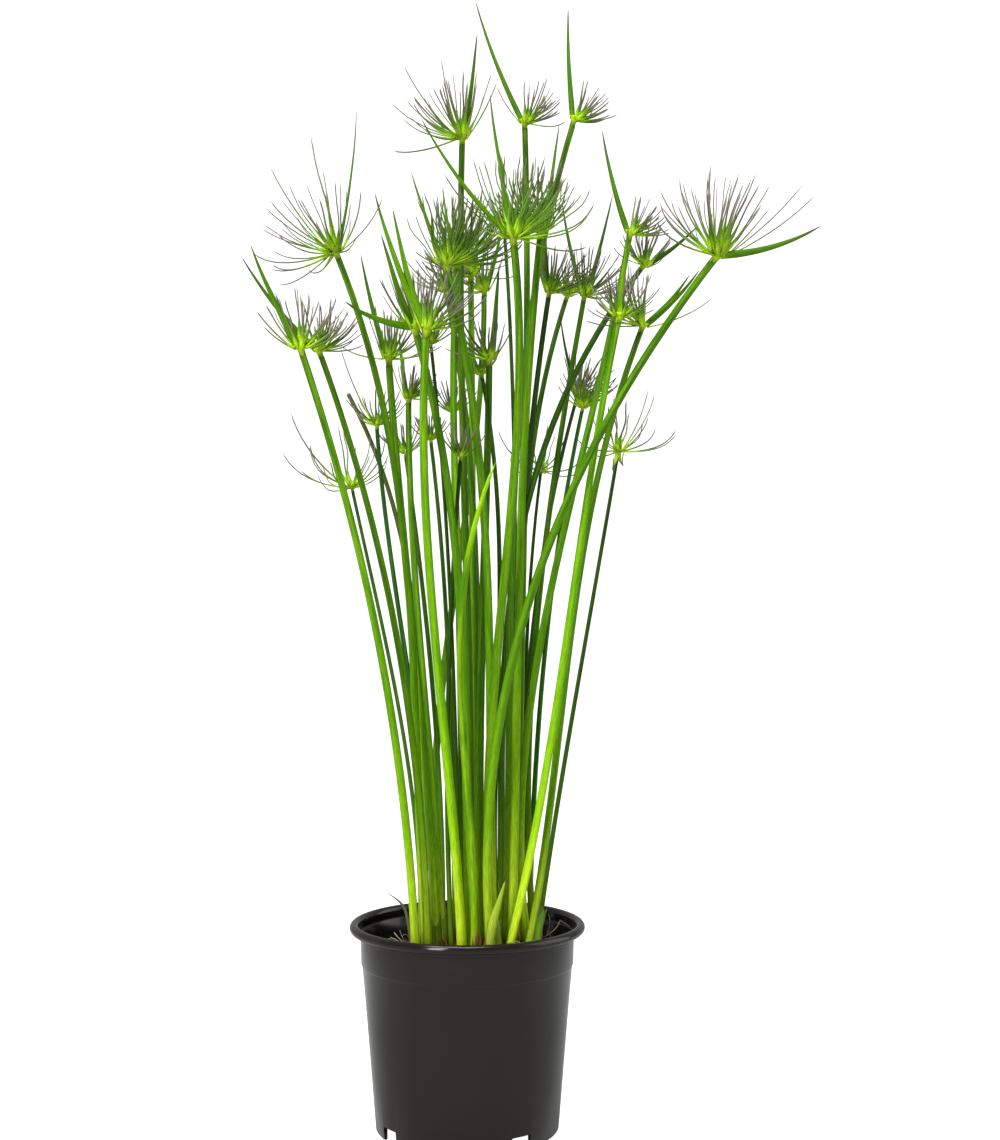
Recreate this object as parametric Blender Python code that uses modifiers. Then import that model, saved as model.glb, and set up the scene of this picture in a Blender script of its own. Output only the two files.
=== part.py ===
"""Potted dwarf papyrus: a nursery pot, its soil and a clump of stems with an umbrella of rays on each.

Metres, +Z up. The origin is the centre of the pot's flat underside, and -Y is the front.
"""

import math
from collections import namedtuple

import bmesh
import bpy
import numpy as np
from mathutils import Matrix, Vector

MM = 0.001
UP = Vector((0.0, 0.0, 1.0))
GAP = 0.3 * MM

# Pot, all radii from its axis
POT_HEIGHT = 122 * MM
RIM_RADIUS = 70 * MM
WALL_TOP_RADIUS = 63.6 * MM
STEP_RADIUS = 63.1 * MM
BASE_RADIUS = 54.3 * MM
WALL = 1.2 * MM
FLOOR = 1.6 * MM
PAD_RADIUS = 36 * MM
FOOT_WIDTH = 2 * MM
CHANNEL_HEIGHT = 8.5 * MM
BEAD = 5.6 * MM
RING_DROP = 2.4 * MM
LEDGE_DROP = 6.7 * MM
STEP_DROP = 25 * MM
STEP_DEPTH = 0.8 * MM
POT_SIDES = 36
NOTCHES = 4
NOTCH_HEIGHT = 8 * MM
NOTCH_WIDTH = 13 * MM
NOTCH_DEPTH = 4.9 * MM
NOTCH_REACH = 2 * MM
NOTCH_ROUNDING = 4 * MM
FIRST_NOTCH_DEG = -54.5

# Soil and the crown that the stems grow from
SOIL_TOP = 103 * MM
CROWN_TOP = 106.5 * MM
CROWN_BOTTOM = 97 * MM
CROWN_X = 6 * MM
CROWN_HALF_WIDTH = 50 * MM
CROWN_HALF_DEPTH = 39 * MM
CROWN_ROUNDING = 3 * MM
CROWN_SIDES = 32
FOOT_Z = CROWN_TOP + GAP

# The clump is laid out as it looks from this point, on the upright plane through the pot's axis
VIEW_POINT = Vector((19.4 * MM, -1042.6 * MM, 331.2 * MM))

# Stems stand in lanes from front to back, and the lanes spread towards the heads
FOOT_LANE = 7.5 * MM
HEAD_LANE = 25 * MM
STAGGER = 2.5 * MM
LANE_CURVE = 1.25
CULM_SIDES = 6
CULM_RINGS = 5
HEAD_TAPER = 0.72
HUB_WIDTH = 0.95
HUB_DEPTH = 1.1
HUB_MOUTH_HEIGHT = 0.45
HUB_MOUTH_WIDTH = 0.5
UMBEL_LIFT = 0.8
RAY_RADIUS = 0.55 * MM
RAY_CURL = 0.16
RAY_VARIATION = 0.16
RAY_SPREAD_DEG = 7
OUTER_RAY_DEG = 64
INNER_RAY_DEG = 24
BLADE_HALF_WIDTH = 1.7 * MM
BLADE_HALF_DEPTH = 0.5 * MM
BLADE_SHARES = (0.3, 0.68)
BLADE_WIDTHS = (BLADE_HALF_WIDTH, BLADE_HALF_WIDTH * 0.72)
RAY_SHARES = (0.3,)
SPROUT_BASE = 0.42

# Where a new blade or ray has no room, it is turned or shortened in these steps
TURNS_DEG = (0, 9, -9, 18, -18, 27, -27)
LENGTHS = (1.0, 0.86, 0.72)
DEPTH_SHIFTS = (0, -8, 8, -16, 16, -26, 26, -38, 38)
CLEARANCE = 0.5 * MM

# Colours are linear RGB
TONES = {
    "sunlit": (0.115, 0.33, 0.006),
    "mid": (0.06, 0.22, 0.006),
    "shade": (0.03, 0.09, 0.008),
    "bluish": (0.02, 0.11, 0.02),
    "fresh": (0.28, 0.46, 0.01),
    "dry": (0.12, 0.12, 0.03),
    "brown": (0.2, 0.07, 0.02),
}
POT_COLOUR = (0.028, 0.025, 0.021)
SOIL_COLOUR = (0.017, 0.010, 0.007)
CROWN_COLOUR = (0.061, 0.04, 0.018)

# One row a stem, in millimetres as seen from the view point: its lane, how far right of the pot's
# axis it is at its foot, a third, two thirds and the whole of its height, the height of its head,
# its width, the length of its rays, and the tips (x, z) of its leaf blades and of its longest rays.
Stem = namedtuple("Stem", "name tone lane lean head width rays blades tips", defaults=((), ()))
STEMS = (
    Stem("stem_01", "mid", -4, (-31, -42, -65, -100), 465, 4.9, 35,
         ((-130, 527),), ((-126, 486), (-122, 477), (-81, 486))),
    Stem("stem_02", "sunlit", -4, (-3, -13, -24, -24), 477, 5.7, 39, ((-45, 549), (-56, 559))),
    Stem("young_shoot", "fresh", -4, (4, 0, -4, 17), 396, 4.8, 0),
    Stem("stem_03", "mid", -4, (14, 19, 63, 150), 520, 5.4, 51,
         ((212, 537),), ((114, 559), (128, 564), (145, 574), (158, 567), (209, 556), (201, 562))),
    Stem("stem_04", "mid", -3, (-24, -32, -53, -89), 463, 4.3, 30, ((-136, 520),), ((-81, 488),)),
    Stem("stem_05", "mid", -3, (2, -1, -8, -32), 477, 5.4, 36, ((-52, 533), (-74, 492))),
    Stem("stem_06", "sunlit", -3, (18, 15, 28, 27), 531, 5.7, 45,
         ((-29, 603), (13, 618)), ((-15, 569),)),
    Stem("stem_07", "sunlit", -3, (24, 50, 69, 91), 484, 4.8, 30, ((96, 537),)),
    Stem("stem_08", "mid", -2, (-24, -31, -42, -79), 522, 4.8, 50,
         ((-66, 608),), ((-119, 574), (-94, 593), (-50, 554), (-112, 536), (-113, 501))),
    Stem("stem_09", "shade", -2, (-9, -12, -10, -4), 400, 3.0, 21),
    Stem("stem_10", "mid", -2, (16, 14, 9, -13), 515, 5.4, 39, ((-34, 570),)),
    Stem("stem_11", "sunlit", -2, (26, 29, 33, 44), 535, 5.4, 36, ((55, 599),)),
    Stem("stem_12", "mid", -2, (36, 54, 71, 105), 478, 4.5, 37, ((139, 511), (133, 508)),
         ((147, 494),)),
    Stem("stem_13", "mid", -1, (-18, -26, -37, -47), 459, 5.4, 35, ((-64, 521),), ((-76, 465),)),
    Stem("stem_14", "sunlit", -1, (0, -1, -7, -6), 516, 5.1, 42, ((-15, 561),)),
    Stem("stem_15", "mid", -1, (9, 7, 10, 13), 459, 5.4, 29, ((19, 515),)),
    Stem("stem_16", "mid", -1, (22, 25, 32, 64), 601, 4.5, 25,
         ((60, 668),), ((90, 603), (85, 611))),
    Stem("stem_17", "mid", -1, (36, 37, 66, 97), 533, 4.8, 24, ((80, 595),), ((115, 543),)),
    Stem("stem_18", "bluish", 0, (-21, -27, -42, -54), 419, 3.3, 27, (), ((-76, 465),)),
    Stem("stem_19", "shade", 0, (-4, -7, -12, -22), 467, 2.7, 25),
    Stem("stem_20", "mid", 0, (1, 1, -3, -3), 590, 4.8, 42,
         ((6, 653),), ((-46, 610), (-39, 634), (-16, 638), (18, 623), (-45, 581))),
    Stem("stem_21", "shade", 0, (19, 21, 38, 106), 514, 4.5, 27, ((138, 537),), ((122, 528),)),
    Stem("stem_22", "shade", 0, (41, 56, 73, 90), 403, 3.0, 37,
         (), ((125, 416), (108, 440), (84, 430), (112, 438))),
    Stem("stem_23", "shade", 1, (-28, -33, -49, -69), 381, 2.7, 42,
         (), ((-106, 427), (-111, 403), (-77, 418), (-49, 409))),
    Stem("stem_24", "mid", 1, (-14, -22, -31, -35), 435, 4.8, 25, ((-41, 474),)),
    Stem("stem_25", "mid", 1, (8, 6, 3, -13), 499, 4.8, 30),
    Stem("stem_26", "shade", 1, (29, 28, 34, 49), 498, 4.2, 35, ((46, 549),)),
    Stem("stem_27", "mid", 1, (40, 37, 49, 70), 496, 4.2, 35, ((56, 553), (87, 557))),
    Stem("cut_stem", "dry", 2, (-16, -26, -35, -71), 436, 3.6, 0),
    Stem("stem_28", "shade", 2, (-3, -4, -6, -9), 427, 3.6, 21),
    Stem("stem_29", "sunlit", 2, (4, 3, 3, 2), 508, 5.1, 36, ((9, 561),)),
    Stem("stem_30", "shade", 2, (18, 17, 19, 8), 449, 3.4, 21),
    Stem("stem_31", "mid", 2, (31, 32, 35, 34), 599, 4.8, 29,
         ((4, 673),), ((17, 620), (48, 626), (56, 611))),
    Stem("stem_32", "bluish", 2, (37, 41, 51, 69), 429, 3.3, 29),
    Stem("stem_33", "shade", 3, (-15, -17, -25, -37), 402, 3.4, 24),
    Stem("stem_34", "shade", 3, (-7, -9, -13, -22), 410, 3.2, 21),
    Stem("stem_35", "shade", 3, (27, 28, 28, 22), 535, 3.0, 29),
    Stem("stem_36", "shade", 3, (31, 33, 43, 66), 437, 3.0, 30, ((55, 486),)),
    Stem("stem_37", "sunlit", 4, (-14, -17, 0, 10), 499, 4.8, 27, ((22, 543),)),
    Stem("stem_38", "shade", 4, (32, 32, 35, 60), 496, 4.2, 25),
    Stem("stem_39", "shade", 4, (40, 35, 36, 44), 391, 2.7, 33, (), ((18, 416),)),
)

# Short pieces at the foot of the clump: depth, half width and thickness, whether the end is a
# point, and the (x, z) it passes through above its foot, all in millimetres
Scrap = namedtuple("Scrap", "name tone depth foot half_width half_depth pointed path")
SCRAPS = (
    Scrap("dry_leaf", "dry", -10, -33, 1.1, 0.5, True, ((-36, 125), (-40, 133), (-48, 139))),
    Scrap("cut_stub", "mid", -22, 41, 2.2, 1.6, False, ((43, 119), (46, 131))),
    Scrap("brown_sheath", "brown", -36, 4, 2.4, 0.7, True, ((4, 112), (6, 120))),
)


def seen(x, z, y):
    """The point at depth y that looks, from the view point, to be at x, z over the pot's axis."""
    reach = 1 - y / VIEW_POINT.y
    offset = Vector((x, 0.0, z)) - VIEW_POINT
    return Vector((VIEW_POINT.x + offset.x * reach, y, VIEW_POINT.z + offset.z * reach))


def cubic(readings, t):
    """Value at t, from 0 to 1, of the smooth curve through four evenly spaced readings."""
    first, second, third, last = readings
    return (
        first * (1 - 3 * t) * (2 - 3 * t) * (1 - t) / 2
        + second * 9 * t * (2 - 3 * t) * (1 - t) / 2
        + third * 9 * t * (3 * t - 1) * (1 - t) / 2
        + last * t * (3 * t - 1) * (3 * t - 2) / 2
    )


class Culm:
    """The line, widths and head of one stem."""

    def __init__(self, stem, index):
        self.stem = stem
        self.lean = [reading * MM for reading in stem.lean]
        self.foot_y = stem.lane * FOOT_LANE
        self.head_y = stem.lane * HEAD_LANE + (index * 3 % 5 - 2) * STAGGER
        self.head = seen(self.lean[-1], stem.head * MM, self.head_y)
        # The height at which the foot looks to be over the pot's axis
        self.foot_height = VIEW_POINT.z + (FOOT_Z - VIEW_POINT.z) / (1 - self.foot_y / VIEW_POINT.y)
        self.foot_radius = stem.width * MM / 2
        self.head_radius = self.foot_radius * HEAD_TAPER
        self.hub_radius = stem.width * MM * HUB_WIDTH
        self.hub_depth = stem.width * MM * HUB_DEPTH
        self.blade_radii = (self.hub_radius * SPROUT_BASE, BLADE_HALF_WIDTH, BLADE_HALF_WIDTH)
        self.ray_radii = (self.hub_radius * SPROUT_BASE, RAY_RADIUS)

    def point(self, t):
        """The middle of the stem at a share t of the height that it is seen to have."""
        y = self.foot_y + (self.head_y - self.foot_y) * t**LANE_CURVE
        height = self.foot_height + (self.stem.head * MM - self.foot_height) * t
        return seen(cubic(self.lean, t), height, y)

    def direction(self, t):
        """The way the stem grows at t."""
        step = 0.02
        return (self.point(min(t + step, 1)) - self.point(max(t - step, 0))).normalized()

    def radius(self, t):
        """Half the stem's width at t."""
        return self.foot_radius + (self.head_radius - self.foot_radius) * t

    def umbel_axis(self):
        """The middle line of the rays, between the stem's own line and straight up."""
        return (self.direction(1) + UP * UMBEL_LIFT).normalized()

    def runs(self):
        """The stem's straight runs, as start, end and radius."""
        points = [self.point(ring / CULM_RINGS) for ring in range(CULM_RINGS + 1)]
        found = [
            (points[i], points[i + 1], self.radius(i / CULM_RINGS)) for i in range(CULM_RINGS)
        ]
        if self.stem.rays:
            mouth = self.head + self.umbel_axis() * self.hub_radius * HUB_MOUTH_HEIGHT
            found.append((self.head, mouth, self.hub_radius))
        return found


class Room:
    """Every run placed so far, to see whether a new one has room among other pieces."""

    def __init__(self):
        self.owners, self.starts, self.ends, self.radii = [], [], [], []

    def add(self, owner, start, end, radius):
        """Place a run."""
        self.owners.append(owner)
        self.starts.append(start[:])
        self.ends.append(end[:])
        self.radii.append(radius)

    def takes(self, owner, points, radii):
        """Whether the runs between the points are clear of the runs of all other pieces."""
        others = np.array([name != owner for name in self.owners])
        starts, ends = np.array(self.starts)[others], np.array(self.ends)[others]
        taken = np.array(self.radii)[others] + CLEARANCE
        for start, end, radius in zip(points, points[1:], radii):
            gaps = run_distances(np.array(start[:]), np.array(end[:]), starts, ends)
            if (gaps < taken + radius).any():
                return False
        return True

    def settle(self, owner, points, radii):
        """Place the runs between the points."""
        for start, end, radius in zip(points, points[1:], radii):
            self.add(owner, start, end, radius)


def run_distances(start, end, starts, ends):
    """Shortest distance from one straight run to each of many."""
    tiny = 1e-12
    along, alongs, apart = end - start, ends - starts, start - starts
    own, theirs = along @ along, np.einsum("ij,ij->i", alongs, alongs) + tiny
    both, lead = alongs @ along, apart @ along
    trail = np.einsum("ij,ij->i", alongs, apart)
    spread = own * theirs - both * both
    s = np.clip(np.where(spread > tiny, (both * trail - lead * theirs) / (spread + tiny), 0), 0, 1)
    t = np.clip((both * s + trail) / theirs, 0, 1)
    s = np.clip((both * t - lead) / own, 0, 1)
    between = start + along * s[:, None] - starts - alongs * t[:, None]
    return np.linalg.norm(between, axis=1)


def extend(bm, face):
    """Extrude a face with its rim in place and return the new end face."""
    found = bmesh.ops.extrude_face_region(bm, geom=[face, *face.edges])["geom"]
    return next(item for item in found if isinstance(item, bmesh.types.BMFace))


def lay(face, centre, direction, across, half_width, half_depth):
    """Set a face's corners around a centre, square to a direction."""
    middle = face.calc_center_median()
    other = direction.cross(across).normalized()
    across = other.cross(direction).normalized()
    for corner in face.verts:
        offset = corner.co - middle
        wide, deep = offset.dot(across), offset.dot(other)
        size = math.hypot(wide, deep)
        corner.co = centre + across * (wide / size * half_width) + other * (deep / size * half_depth)


def grow_point(bm, face, tip):
    """Extrude a face to a point."""
    bmesh.ops.pointmerge(bm, verts=extend(bm, face).verts[:], merge_co=tip)


def sprout_points(culm, start, tip, shares):
    """Points of a ray or blade that leaves its hub low and curls up to its tip."""
    span = tip - start
    bow = (span.normalized() - culm.umbel_axis()) * span.length * RAY_CURL
    middles = [start + span * share + bow * 2 * share * (1 - share) for share in shares]
    return [start, *middles, tip]


def tip_in_view(room, culm, start, listed, lead, shares, radii):
    """A tip read from the front, at the first depth at which its blade or ray has room."""
    for shift in DEPTH_SHIFTS:
        tip = seen(listed[0] * MM, listed[1] * MM, culm.head_y + lead + shift * MM)
        if room.takes(culm.stem.name, sprout_points(culm, start, tip, shares), radii):
            return tip
    return None


def hub_faces(bm, culm, top):
    """Open the stem's top face into a cup and return its outer and inner faces."""
    axis = culm.umbel_axis()
    across = Vector((1.0, 0.0, 0.0))
    cup = extend(bm, top)
    lay(cup, culm.head, axis, across, culm.hub_radius, culm.hub_radius)
    crown = extend(bm, cup)
    mouth = culm.hub_radius * HUB_MOUTH_WIDTH
    lay(crown, culm.head + axis * culm.hub_radius * HUB_MOUTH_HEIGHT, axis, across, mouth, mouth)
    outer = [next(f for f in edge.link_faces if f is not crown) for edge in crown.edges]
    inner = bmesh.ops.poke(bm, faces=[crown])["faces"]
    return outer, inner


def nearest_face(faces, culm, listed):
    """The face that looks most nearly towards a tip as seen from the front, taken off the list."""
    wish = (seen(listed[0] * MM, listed[1] * MM, culm.head_y) - culm.head).normalized()
    best = max(faces, key=lambda f: (f.calc_center_median() - culm.head).normalized().dot(wish))
    faces.remove(best)
    return best


def grow_sprout(bm, culm, face, points, widths, half_depth):
    """A blade or ray from a hub face through its points to a sharp tip."""
    start, tip = points[0], points[-1]
    direction = (tip - start).normalized()
    outward = (start - culm.head).normalized()
    across = direction.cross(outward).normalized()
    for centre, half_width in zip(points[1:-1], widths):
        face = extend(bm, face)
        lay(face, centre, direction, across, half_width, half_depth)
    grow_point(bm, face, tip)


def ruled_tip(room, culm, face, angle, length):
    """The tip of an unlisted ray: outward from its face, turned or shortened until it has room."""
    axis = culm.umbel_axis()
    start = face.calc_center_median()
    outward = start - culm.head
    outward = (outward - axis * outward.dot(axis)).normalized()
    for share in LENGTHS:
        for turn in TURNS_DEG:
            side = axis.cross(outward) * math.sin(math.radians(turn))
            sideways = outward * math.cos(math.radians(turn)) + side
            rise = math.radians(angle)
            way = axis * math.cos(rise) + sideways * math.sin(rise)
            tip = culm.head + way * length * share
            points = sprout_points(culm, start, tip, RAY_SHARES)
            if room.takes(culm.stem.name, points, culm.ray_radii):
                return tip
    return None


def grow_blades(bm, culm, faces, room):
    """The leaf blades of a head."""
    for listed in culm.stem.blades:
        face = nearest_face(faces, culm, listed)
        start = face.calc_center_median()
        rise = math.hypot(listed[0] * MM - culm.lean[-1], listed[1] * MM - culm.head.z)
        lead = culm.direction(1).y * rise
        tip = tip_in_view(room, culm, start, listed, lead, BLADE_SHARES, culm.blade_radii)
        if tip:
            points = sprout_points(culm, start, tip, BLADE_SHARES)
            room.settle(culm.stem.name, points, culm.blade_radii)
            grow_sprout(bm, culm, face, points, BLADE_WIDTHS, BLADE_HALF_DEPTH)


def grow_rays(bm, culm, outer, inner, room):
    """The rays of a head: the listed ones, then one from each face that is left."""
    wanted = []
    for listed in culm.stem.tips[: len(outer)]:
        face = nearest_face(outer, culm, listed)
        start = face.calc_center_median()
        tip = tip_in_view(room, culm, start, listed, 0, RAY_SHARES, culm.ray_radii)
        wanted.append((face, tip))
    reach = culm.stem.rays * MM
    for faces, angle in ((outer, OUTER_RAY_DEG), (inner[::2], INNER_RAY_DEG)):
        for order, face in enumerate(faces):
            length = reach * (1 - RAY_VARIATION * (order % 2))
            spread = angle + RAY_SPREAD_DEG * (order % 3 - 1)
            wanted.append((face, ruled_tip(room, culm, face, spread, length)))
    for face, tip in wanted:
        if tip:
            points = sprout_points(culm, face.calc_center_median(), tip, RAY_SHARES)
            room.settle(culm.stem.name, points, culm.ray_radii)
            grow_sprout(bm, culm, face, points, (RAY_RADIUS,), RAY_RADIUS)


def grow_head(bm, culm, top, room):
    """The hub with its leaf blades and rays, each where it is clear of the other stems."""
    outer, inner = hub_faces(bm, culm, top)
    grow_blades(bm, culm, outer, room)
    grow_rays(bm, culm, outer, inner, room)


def grow_stem(culm, room):
    """One stem as one closed mesh, from its foot to the tips of its rays."""
    bm = bmesh.new()
    bmesh.ops.create_circle(bm, cap_ends=True, segments=CULM_SIDES, radius=culm.foot_radius)
    across = Vector((1.0, 0.0, 0.0))
    end = bm.faces[:][0]
    lay(end, culm.point(0), UP, across, culm.foot_radius, culm.foot_radius)
    for ring in range(1, CULM_RINGS + 1):
        t = ring / CULM_RINGS
        end = extend(bm, end)
        centre = culm.point(t)
        if t == 1 and culm.stem.rays:
            centre -= culm.direction(1) * culm.hub_depth
        lay(end, centre, culm.direction(t), across, culm.radius(t), culm.radius(t))
    if culm.stem.rays:
        grow_head(bm, culm, end, room)
    elif culm.stem.tone == "fresh":
        grow_point(bm, end, culm.head + culm.direction(1) * culm.hub_depth)
    return finished_mesh(bm, culm.stem.name)


def grow_scrap(scrap):
    """A short flat piece that stands at the foot of the clump."""
    bm = bmesh.new()
    bmesh.ops.create_circle(bm, cap_ends=True, segments=4, radius=1.0)
    end = bm.faces[:][0]
    across = Vector((1.0, 0.0, 0.0))
    y = scrap.depth * MM
    foot = seen(scrap.foot * MM, FOOT_Z, y)
    points = [Vector((foot.x, y, FOOT_Z))] + [seen(x * MM, z * MM, y) for x, z in scrap.path]
    last = len(points) - 1
    for order, point in enumerate(points):
        if order == last and scrap.pointed:
            grow_point(bm, end, point)
            break
        end = extend(bm, end) if order else end
        direction = (points[order + 1] - point).normalized() if 0 < order < last else UP
        lay(end, point, direction, across, scrap.half_width * MM, scrap.half_depth * MM)
    return finished_mesh(bm, scrap.name)


def finished_mesh(bm, name):
    """A mesh from a bmesh, with its faces turned outwards."""
    bmesh.ops.recalc_face_normals(bm, faces=bm.faces[:])
    mesh = bpy.data.meshes.new(name)
    bm.to_mesh(mesh)
    bm.free()
    mesh.shade_smooth()
    mesh.set_sharp_from_angle(angle=math.radians(50))
    return mesh


def principled(name, colour, roughness):
    """A plain Principled material."""
    material = bpy.data.materials.new(name)
    material.use_nodes = True
    shader = material.node_tree.nodes["Principled BSDF"]
    shader.inputs["Base Color"].default_value = (*colour, 1.0)
    shader.inputs["Roughness"].default_value = roughness
    shader.inputs["Metallic"].default_value = 0.0
    material.diffuse_color = (*colour, 1.0)
    return material


def add_object(mesh, material, collection):
    """An object of the same name as its mesh."""
    part = bpy.data.objects.new(mesh.name, mesh)
    mesh.materials.append(material)
    collection.objects.link(part)
    return part


def arc(centre, radius, start_deg, end_deg, steps):
    """Points of an arc in the (radius, height) plane."""
    angles = [
        math.radians(start_deg + (end_deg - start_deg) * i / steps) for i in range(steps + 1)
    ]
    return [
        (centre[0] + radius * math.cos(a), centre[1] + radius * math.sin(a)) for a in angles
    ]


def turned(name, profile, sides, material, collection):
    """A body turned about Z from a profile of (radius, height) points."""
    mesh = bpy.data.meshes.new(name)
    edges = [(i, i + 1) for i in range(len(profile) - 1)]
    mesh.from_pydata([(r, 0.0, z) for r, z in profile], edges, [])
    body = add_object(mesh, material, collection)
    screw = body.modifiers.new("Turn", "SCREW")
    screw.steps = screw.render_steps = sides
    screw.use_merge_vertices = True
    screw.merge_threshold = 0.01 * MM
    return body


def wall_radius(z):
    """Outer radius of the pot's wall at a height below the step."""
    step_z = POT_HEIGHT - STEP_DROP
    return BASE_RADIUS + (STEP_RADIUS - STEP_DEPTH - BASE_RADIUS) * z / step_z


def pot_profile():
    """From the middle of the floor, up the inside, over the rim, down the outside and underneath.

    The pot stands on its foot and on a flat pad in the middle, with a hollow channel between them.
    """
    step_z = POT_HEIGHT - STEP_DROP
    ledge_z = POT_HEIGHT - LEDGE_DROP
    bead = BEAD / 2
    bead_middle = (RIM_RADIUS - bead, POT_HEIGHT - bead)
    roof_z = CHANNEL_HEIGHT + FLOOR
    inside = [
        (0.0, FLOOR),
        (PAD_RADIUS, FLOOR),
        (wall_radius(roof_z) - WALL, roof_z),
        (wall_radius(step_z) - WALL, step_z),
        (WALL_TOP_RADIUS - WALL, ledge_z - WALL),
        (RIM_RADIUS - BEAD, ledge_z),
    ]
    rim = arc(bead_middle, bead, 180, -90, 6)
    lip_z = bead_middle[1] - bead
    outside = [
        (WALL_TOP_RADIUS + RING_DROP / 2, lip_z),
        (WALL_TOP_RADIUS + RING_DROP / 2, lip_z - RING_DROP),
        (WALL_TOP_RADIUS, lip_z - RING_DROP),
        (STEP_RADIUS, step_z + STEP_DEPTH),
        (wall_radius(step_z), step_z),
        (BASE_RADIUS, 0.0),
        (BASE_RADIUS - FOOT_WIDTH, 0.0),
        (BASE_RADIUS - FOOT_WIDTH, CHANNEL_HEIGHT),
        (PAD_RADIUS, 0.0),
        (0.0, 0.0),
    ]
    return inside + rim + outside


def make_pot(collection, cutters):
    """The pot: a turned shell with drainage notches round its foot."""
    pot = turned("pot", pot_profile(), POT_SIDES, principled("pot", POT_COLOUR, 0.4), collection)
    bm = bmesh.new()
    for notch in range(NOTCHES):
        angle = math.radians(FIRST_NOTCH_DEG + 360 * notch / NOTCHES)
        block = bmesh.ops.create_cube(bm, size=1.0)["verts"]
        bmesh.ops.scale(bm, vec=(NOTCH_WIDTH, NOTCH_DEPTH * 2, NOTCH_HEIGHT * 2), verts=block)
        bmesh.ops.translate(bm, vec=(0.0, -BASE_RADIUS - NOTCH_REACH, 0.0), verts=block)
        bmesh.ops.rotate(bm, cent=(0.0, 0.0, 0.0), matrix=Matrix.Rotation(angle, 3, "Z"), verts=block)
    edges = [
        e for e in bm.edges
        if min(v.co.z for v in e.verts) > 0 and e.calc_length() > NOTCH_WIDTH + MM
    ]
    bmesh.ops.bevel(
        bm, geom=edges, offset=NOTCH_ROUNDING, segments=3, profile=0.5, affect="EDGES"
    )
    cutter = add_object(finished_mesh(bm, "pot_notches"), None, cutters)
    hide_cutter(cutter)
    cut = pot.modifiers.new("Notches", "BOOLEAN")
    cut.operation = "DIFFERENCE"
    cut.solver = "EXACT"
    cut.object = cutter
    return pot


def hide_cutter(cutter):
    """Keep a cutter out of renders."""
    cutter.hide_render = True
    cutter.display_type = "WIRE"


def crown_block(grow, top, bottom):
    """An upright elliptical block round the foot of the clump."""
    bm = bmesh.new()
    bmesh.ops.create_cone(
        bm, cap_ends=True, segments=CROWN_SIDES, radius1=1.0, radius2=1.0, depth=1.0
    )
    size = (CROWN_HALF_WIDTH + grow, CROWN_HALF_DEPTH + grow, top - bottom)
    bmesh.ops.scale(bm, vec=size, verts=bm.verts[:])
    bmesh.ops.translate(bm, vec=(CROWN_X, 0.0, (top + bottom) / 2), verts=bm.verts[:])
    return bm


def make_crown(collection):
    """The rhizome crown: a low mound with a level top and a rounded shoulder."""
    bm = crown_block(0.0, CROWN_TOP, CROWN_BOTTOM)
    edges = [e for e in bm.edges if min(v.co.z for v in e.verts) > CROWN_TOP - GAP]
    bmesh.ops.bevel(
        bm, geom=edges, offset=CROWN_ROUNDING, segments=2, profile=0.5, affect="EDGES"
    )
    material = principled("rhizome", CROWN_COLOUR, 0.8)
    return add_object(finished_mesh(bm, "rhizome"), material, collection)


def make_soil(collection, cutters):
    """The soil that fills the pot, with a recess for the crown."""
    low, high = FLOOR + GAP, SOIL_TOP
    roof_z = CHANNEL_HEIGHT + low
    step_z = POT_HEIGHT - STEP_DROP
    shoulder = wall_radius(step_z) - WALL - GAP
    profile = [
        (0.0, high),
        (shoulder - 3 * MM, high),
        (shoulder, high - 2 * MM),
        (shoulder, step_z - MM),
        (wall_radius(roof_z) - WALL - GAP, roof_z),
        (PAD_RADIUS - GAP, low),
        (0.0, low),
    ]
    soil = turned("soil", profile, POT_SIDES, principled("soil", SOIL_COLOUR, 0.95), collection)
    bm = crown_block(GAP, POT_HEIGHT, CROWN_BOTTOM - GAP)
    cutter = add_object(finished_mesh(bm, "crown_recess"), None, cutters)
    hide_cutter(cutter)
    cut = soil.modifiers.new("Recess", "BOOLEAN")
    cut.operation = "DIFFERENCE"
    cut.solver = "EXACT"
    cut.object = cutter
    return soil


def make_clump(collection):
    """Every stem and scrap, with the rays placed after all the stems stand."""
    tones = {name: principled(name, colour, 0.45) for name, colour in TONES.items()}
    culms = [Culm(stem, index) for index, stem in enumerate(STEMS)]
    room = Room()
    for culm in culms:
        for start, end, radius in culm.runs():
            room.add(culm.stem.name, start, end, radius)
    for culm in culms:
        add_object(grow_stem(culm, room), tones[culm.stem.tone], collection)
    for scrap in SCRAPS:
        add_object(grow_scrap(scrap), tones[scrap.tone], collection)


def main():
    """Build the whole object."""
    for old in list(bpy.data.objects):
        bpy.data.objects.remove(old, do_unlink=True)
    collection = bpy.data.collections.new("potted_dwarf_papyrus")
    cutters = bpy.data.collections.new("cutters")
    bpy.context.scene.collection.children.link(collection)
    bpy.context.scene.collection.children.link(cutters)
    make_pot(collection, cutters)
    make_soil(collection, cutters)
    make_crown(collection)
    make_clump(collection)


if __name__ == "__main__":
    main()
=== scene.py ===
"""Looks of the potted dwarf papyrus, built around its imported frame.

Metres, +Z up. The origin is the middle of the pot on the plane that it stands on. -Y is the front.
"""

import logging
import math
import random
from dataclasses import dataclass, field
from enum import Enum
from typing import NamedTuple

import bmesh
import bpy
import numpy as np
from bmesh.types import BMesh, BMVert
from bpy.types import Material, Node, NodeOutputs, NodeSocket, NodeTree, Object
from mathutils import Matrix, Vector, noise


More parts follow.
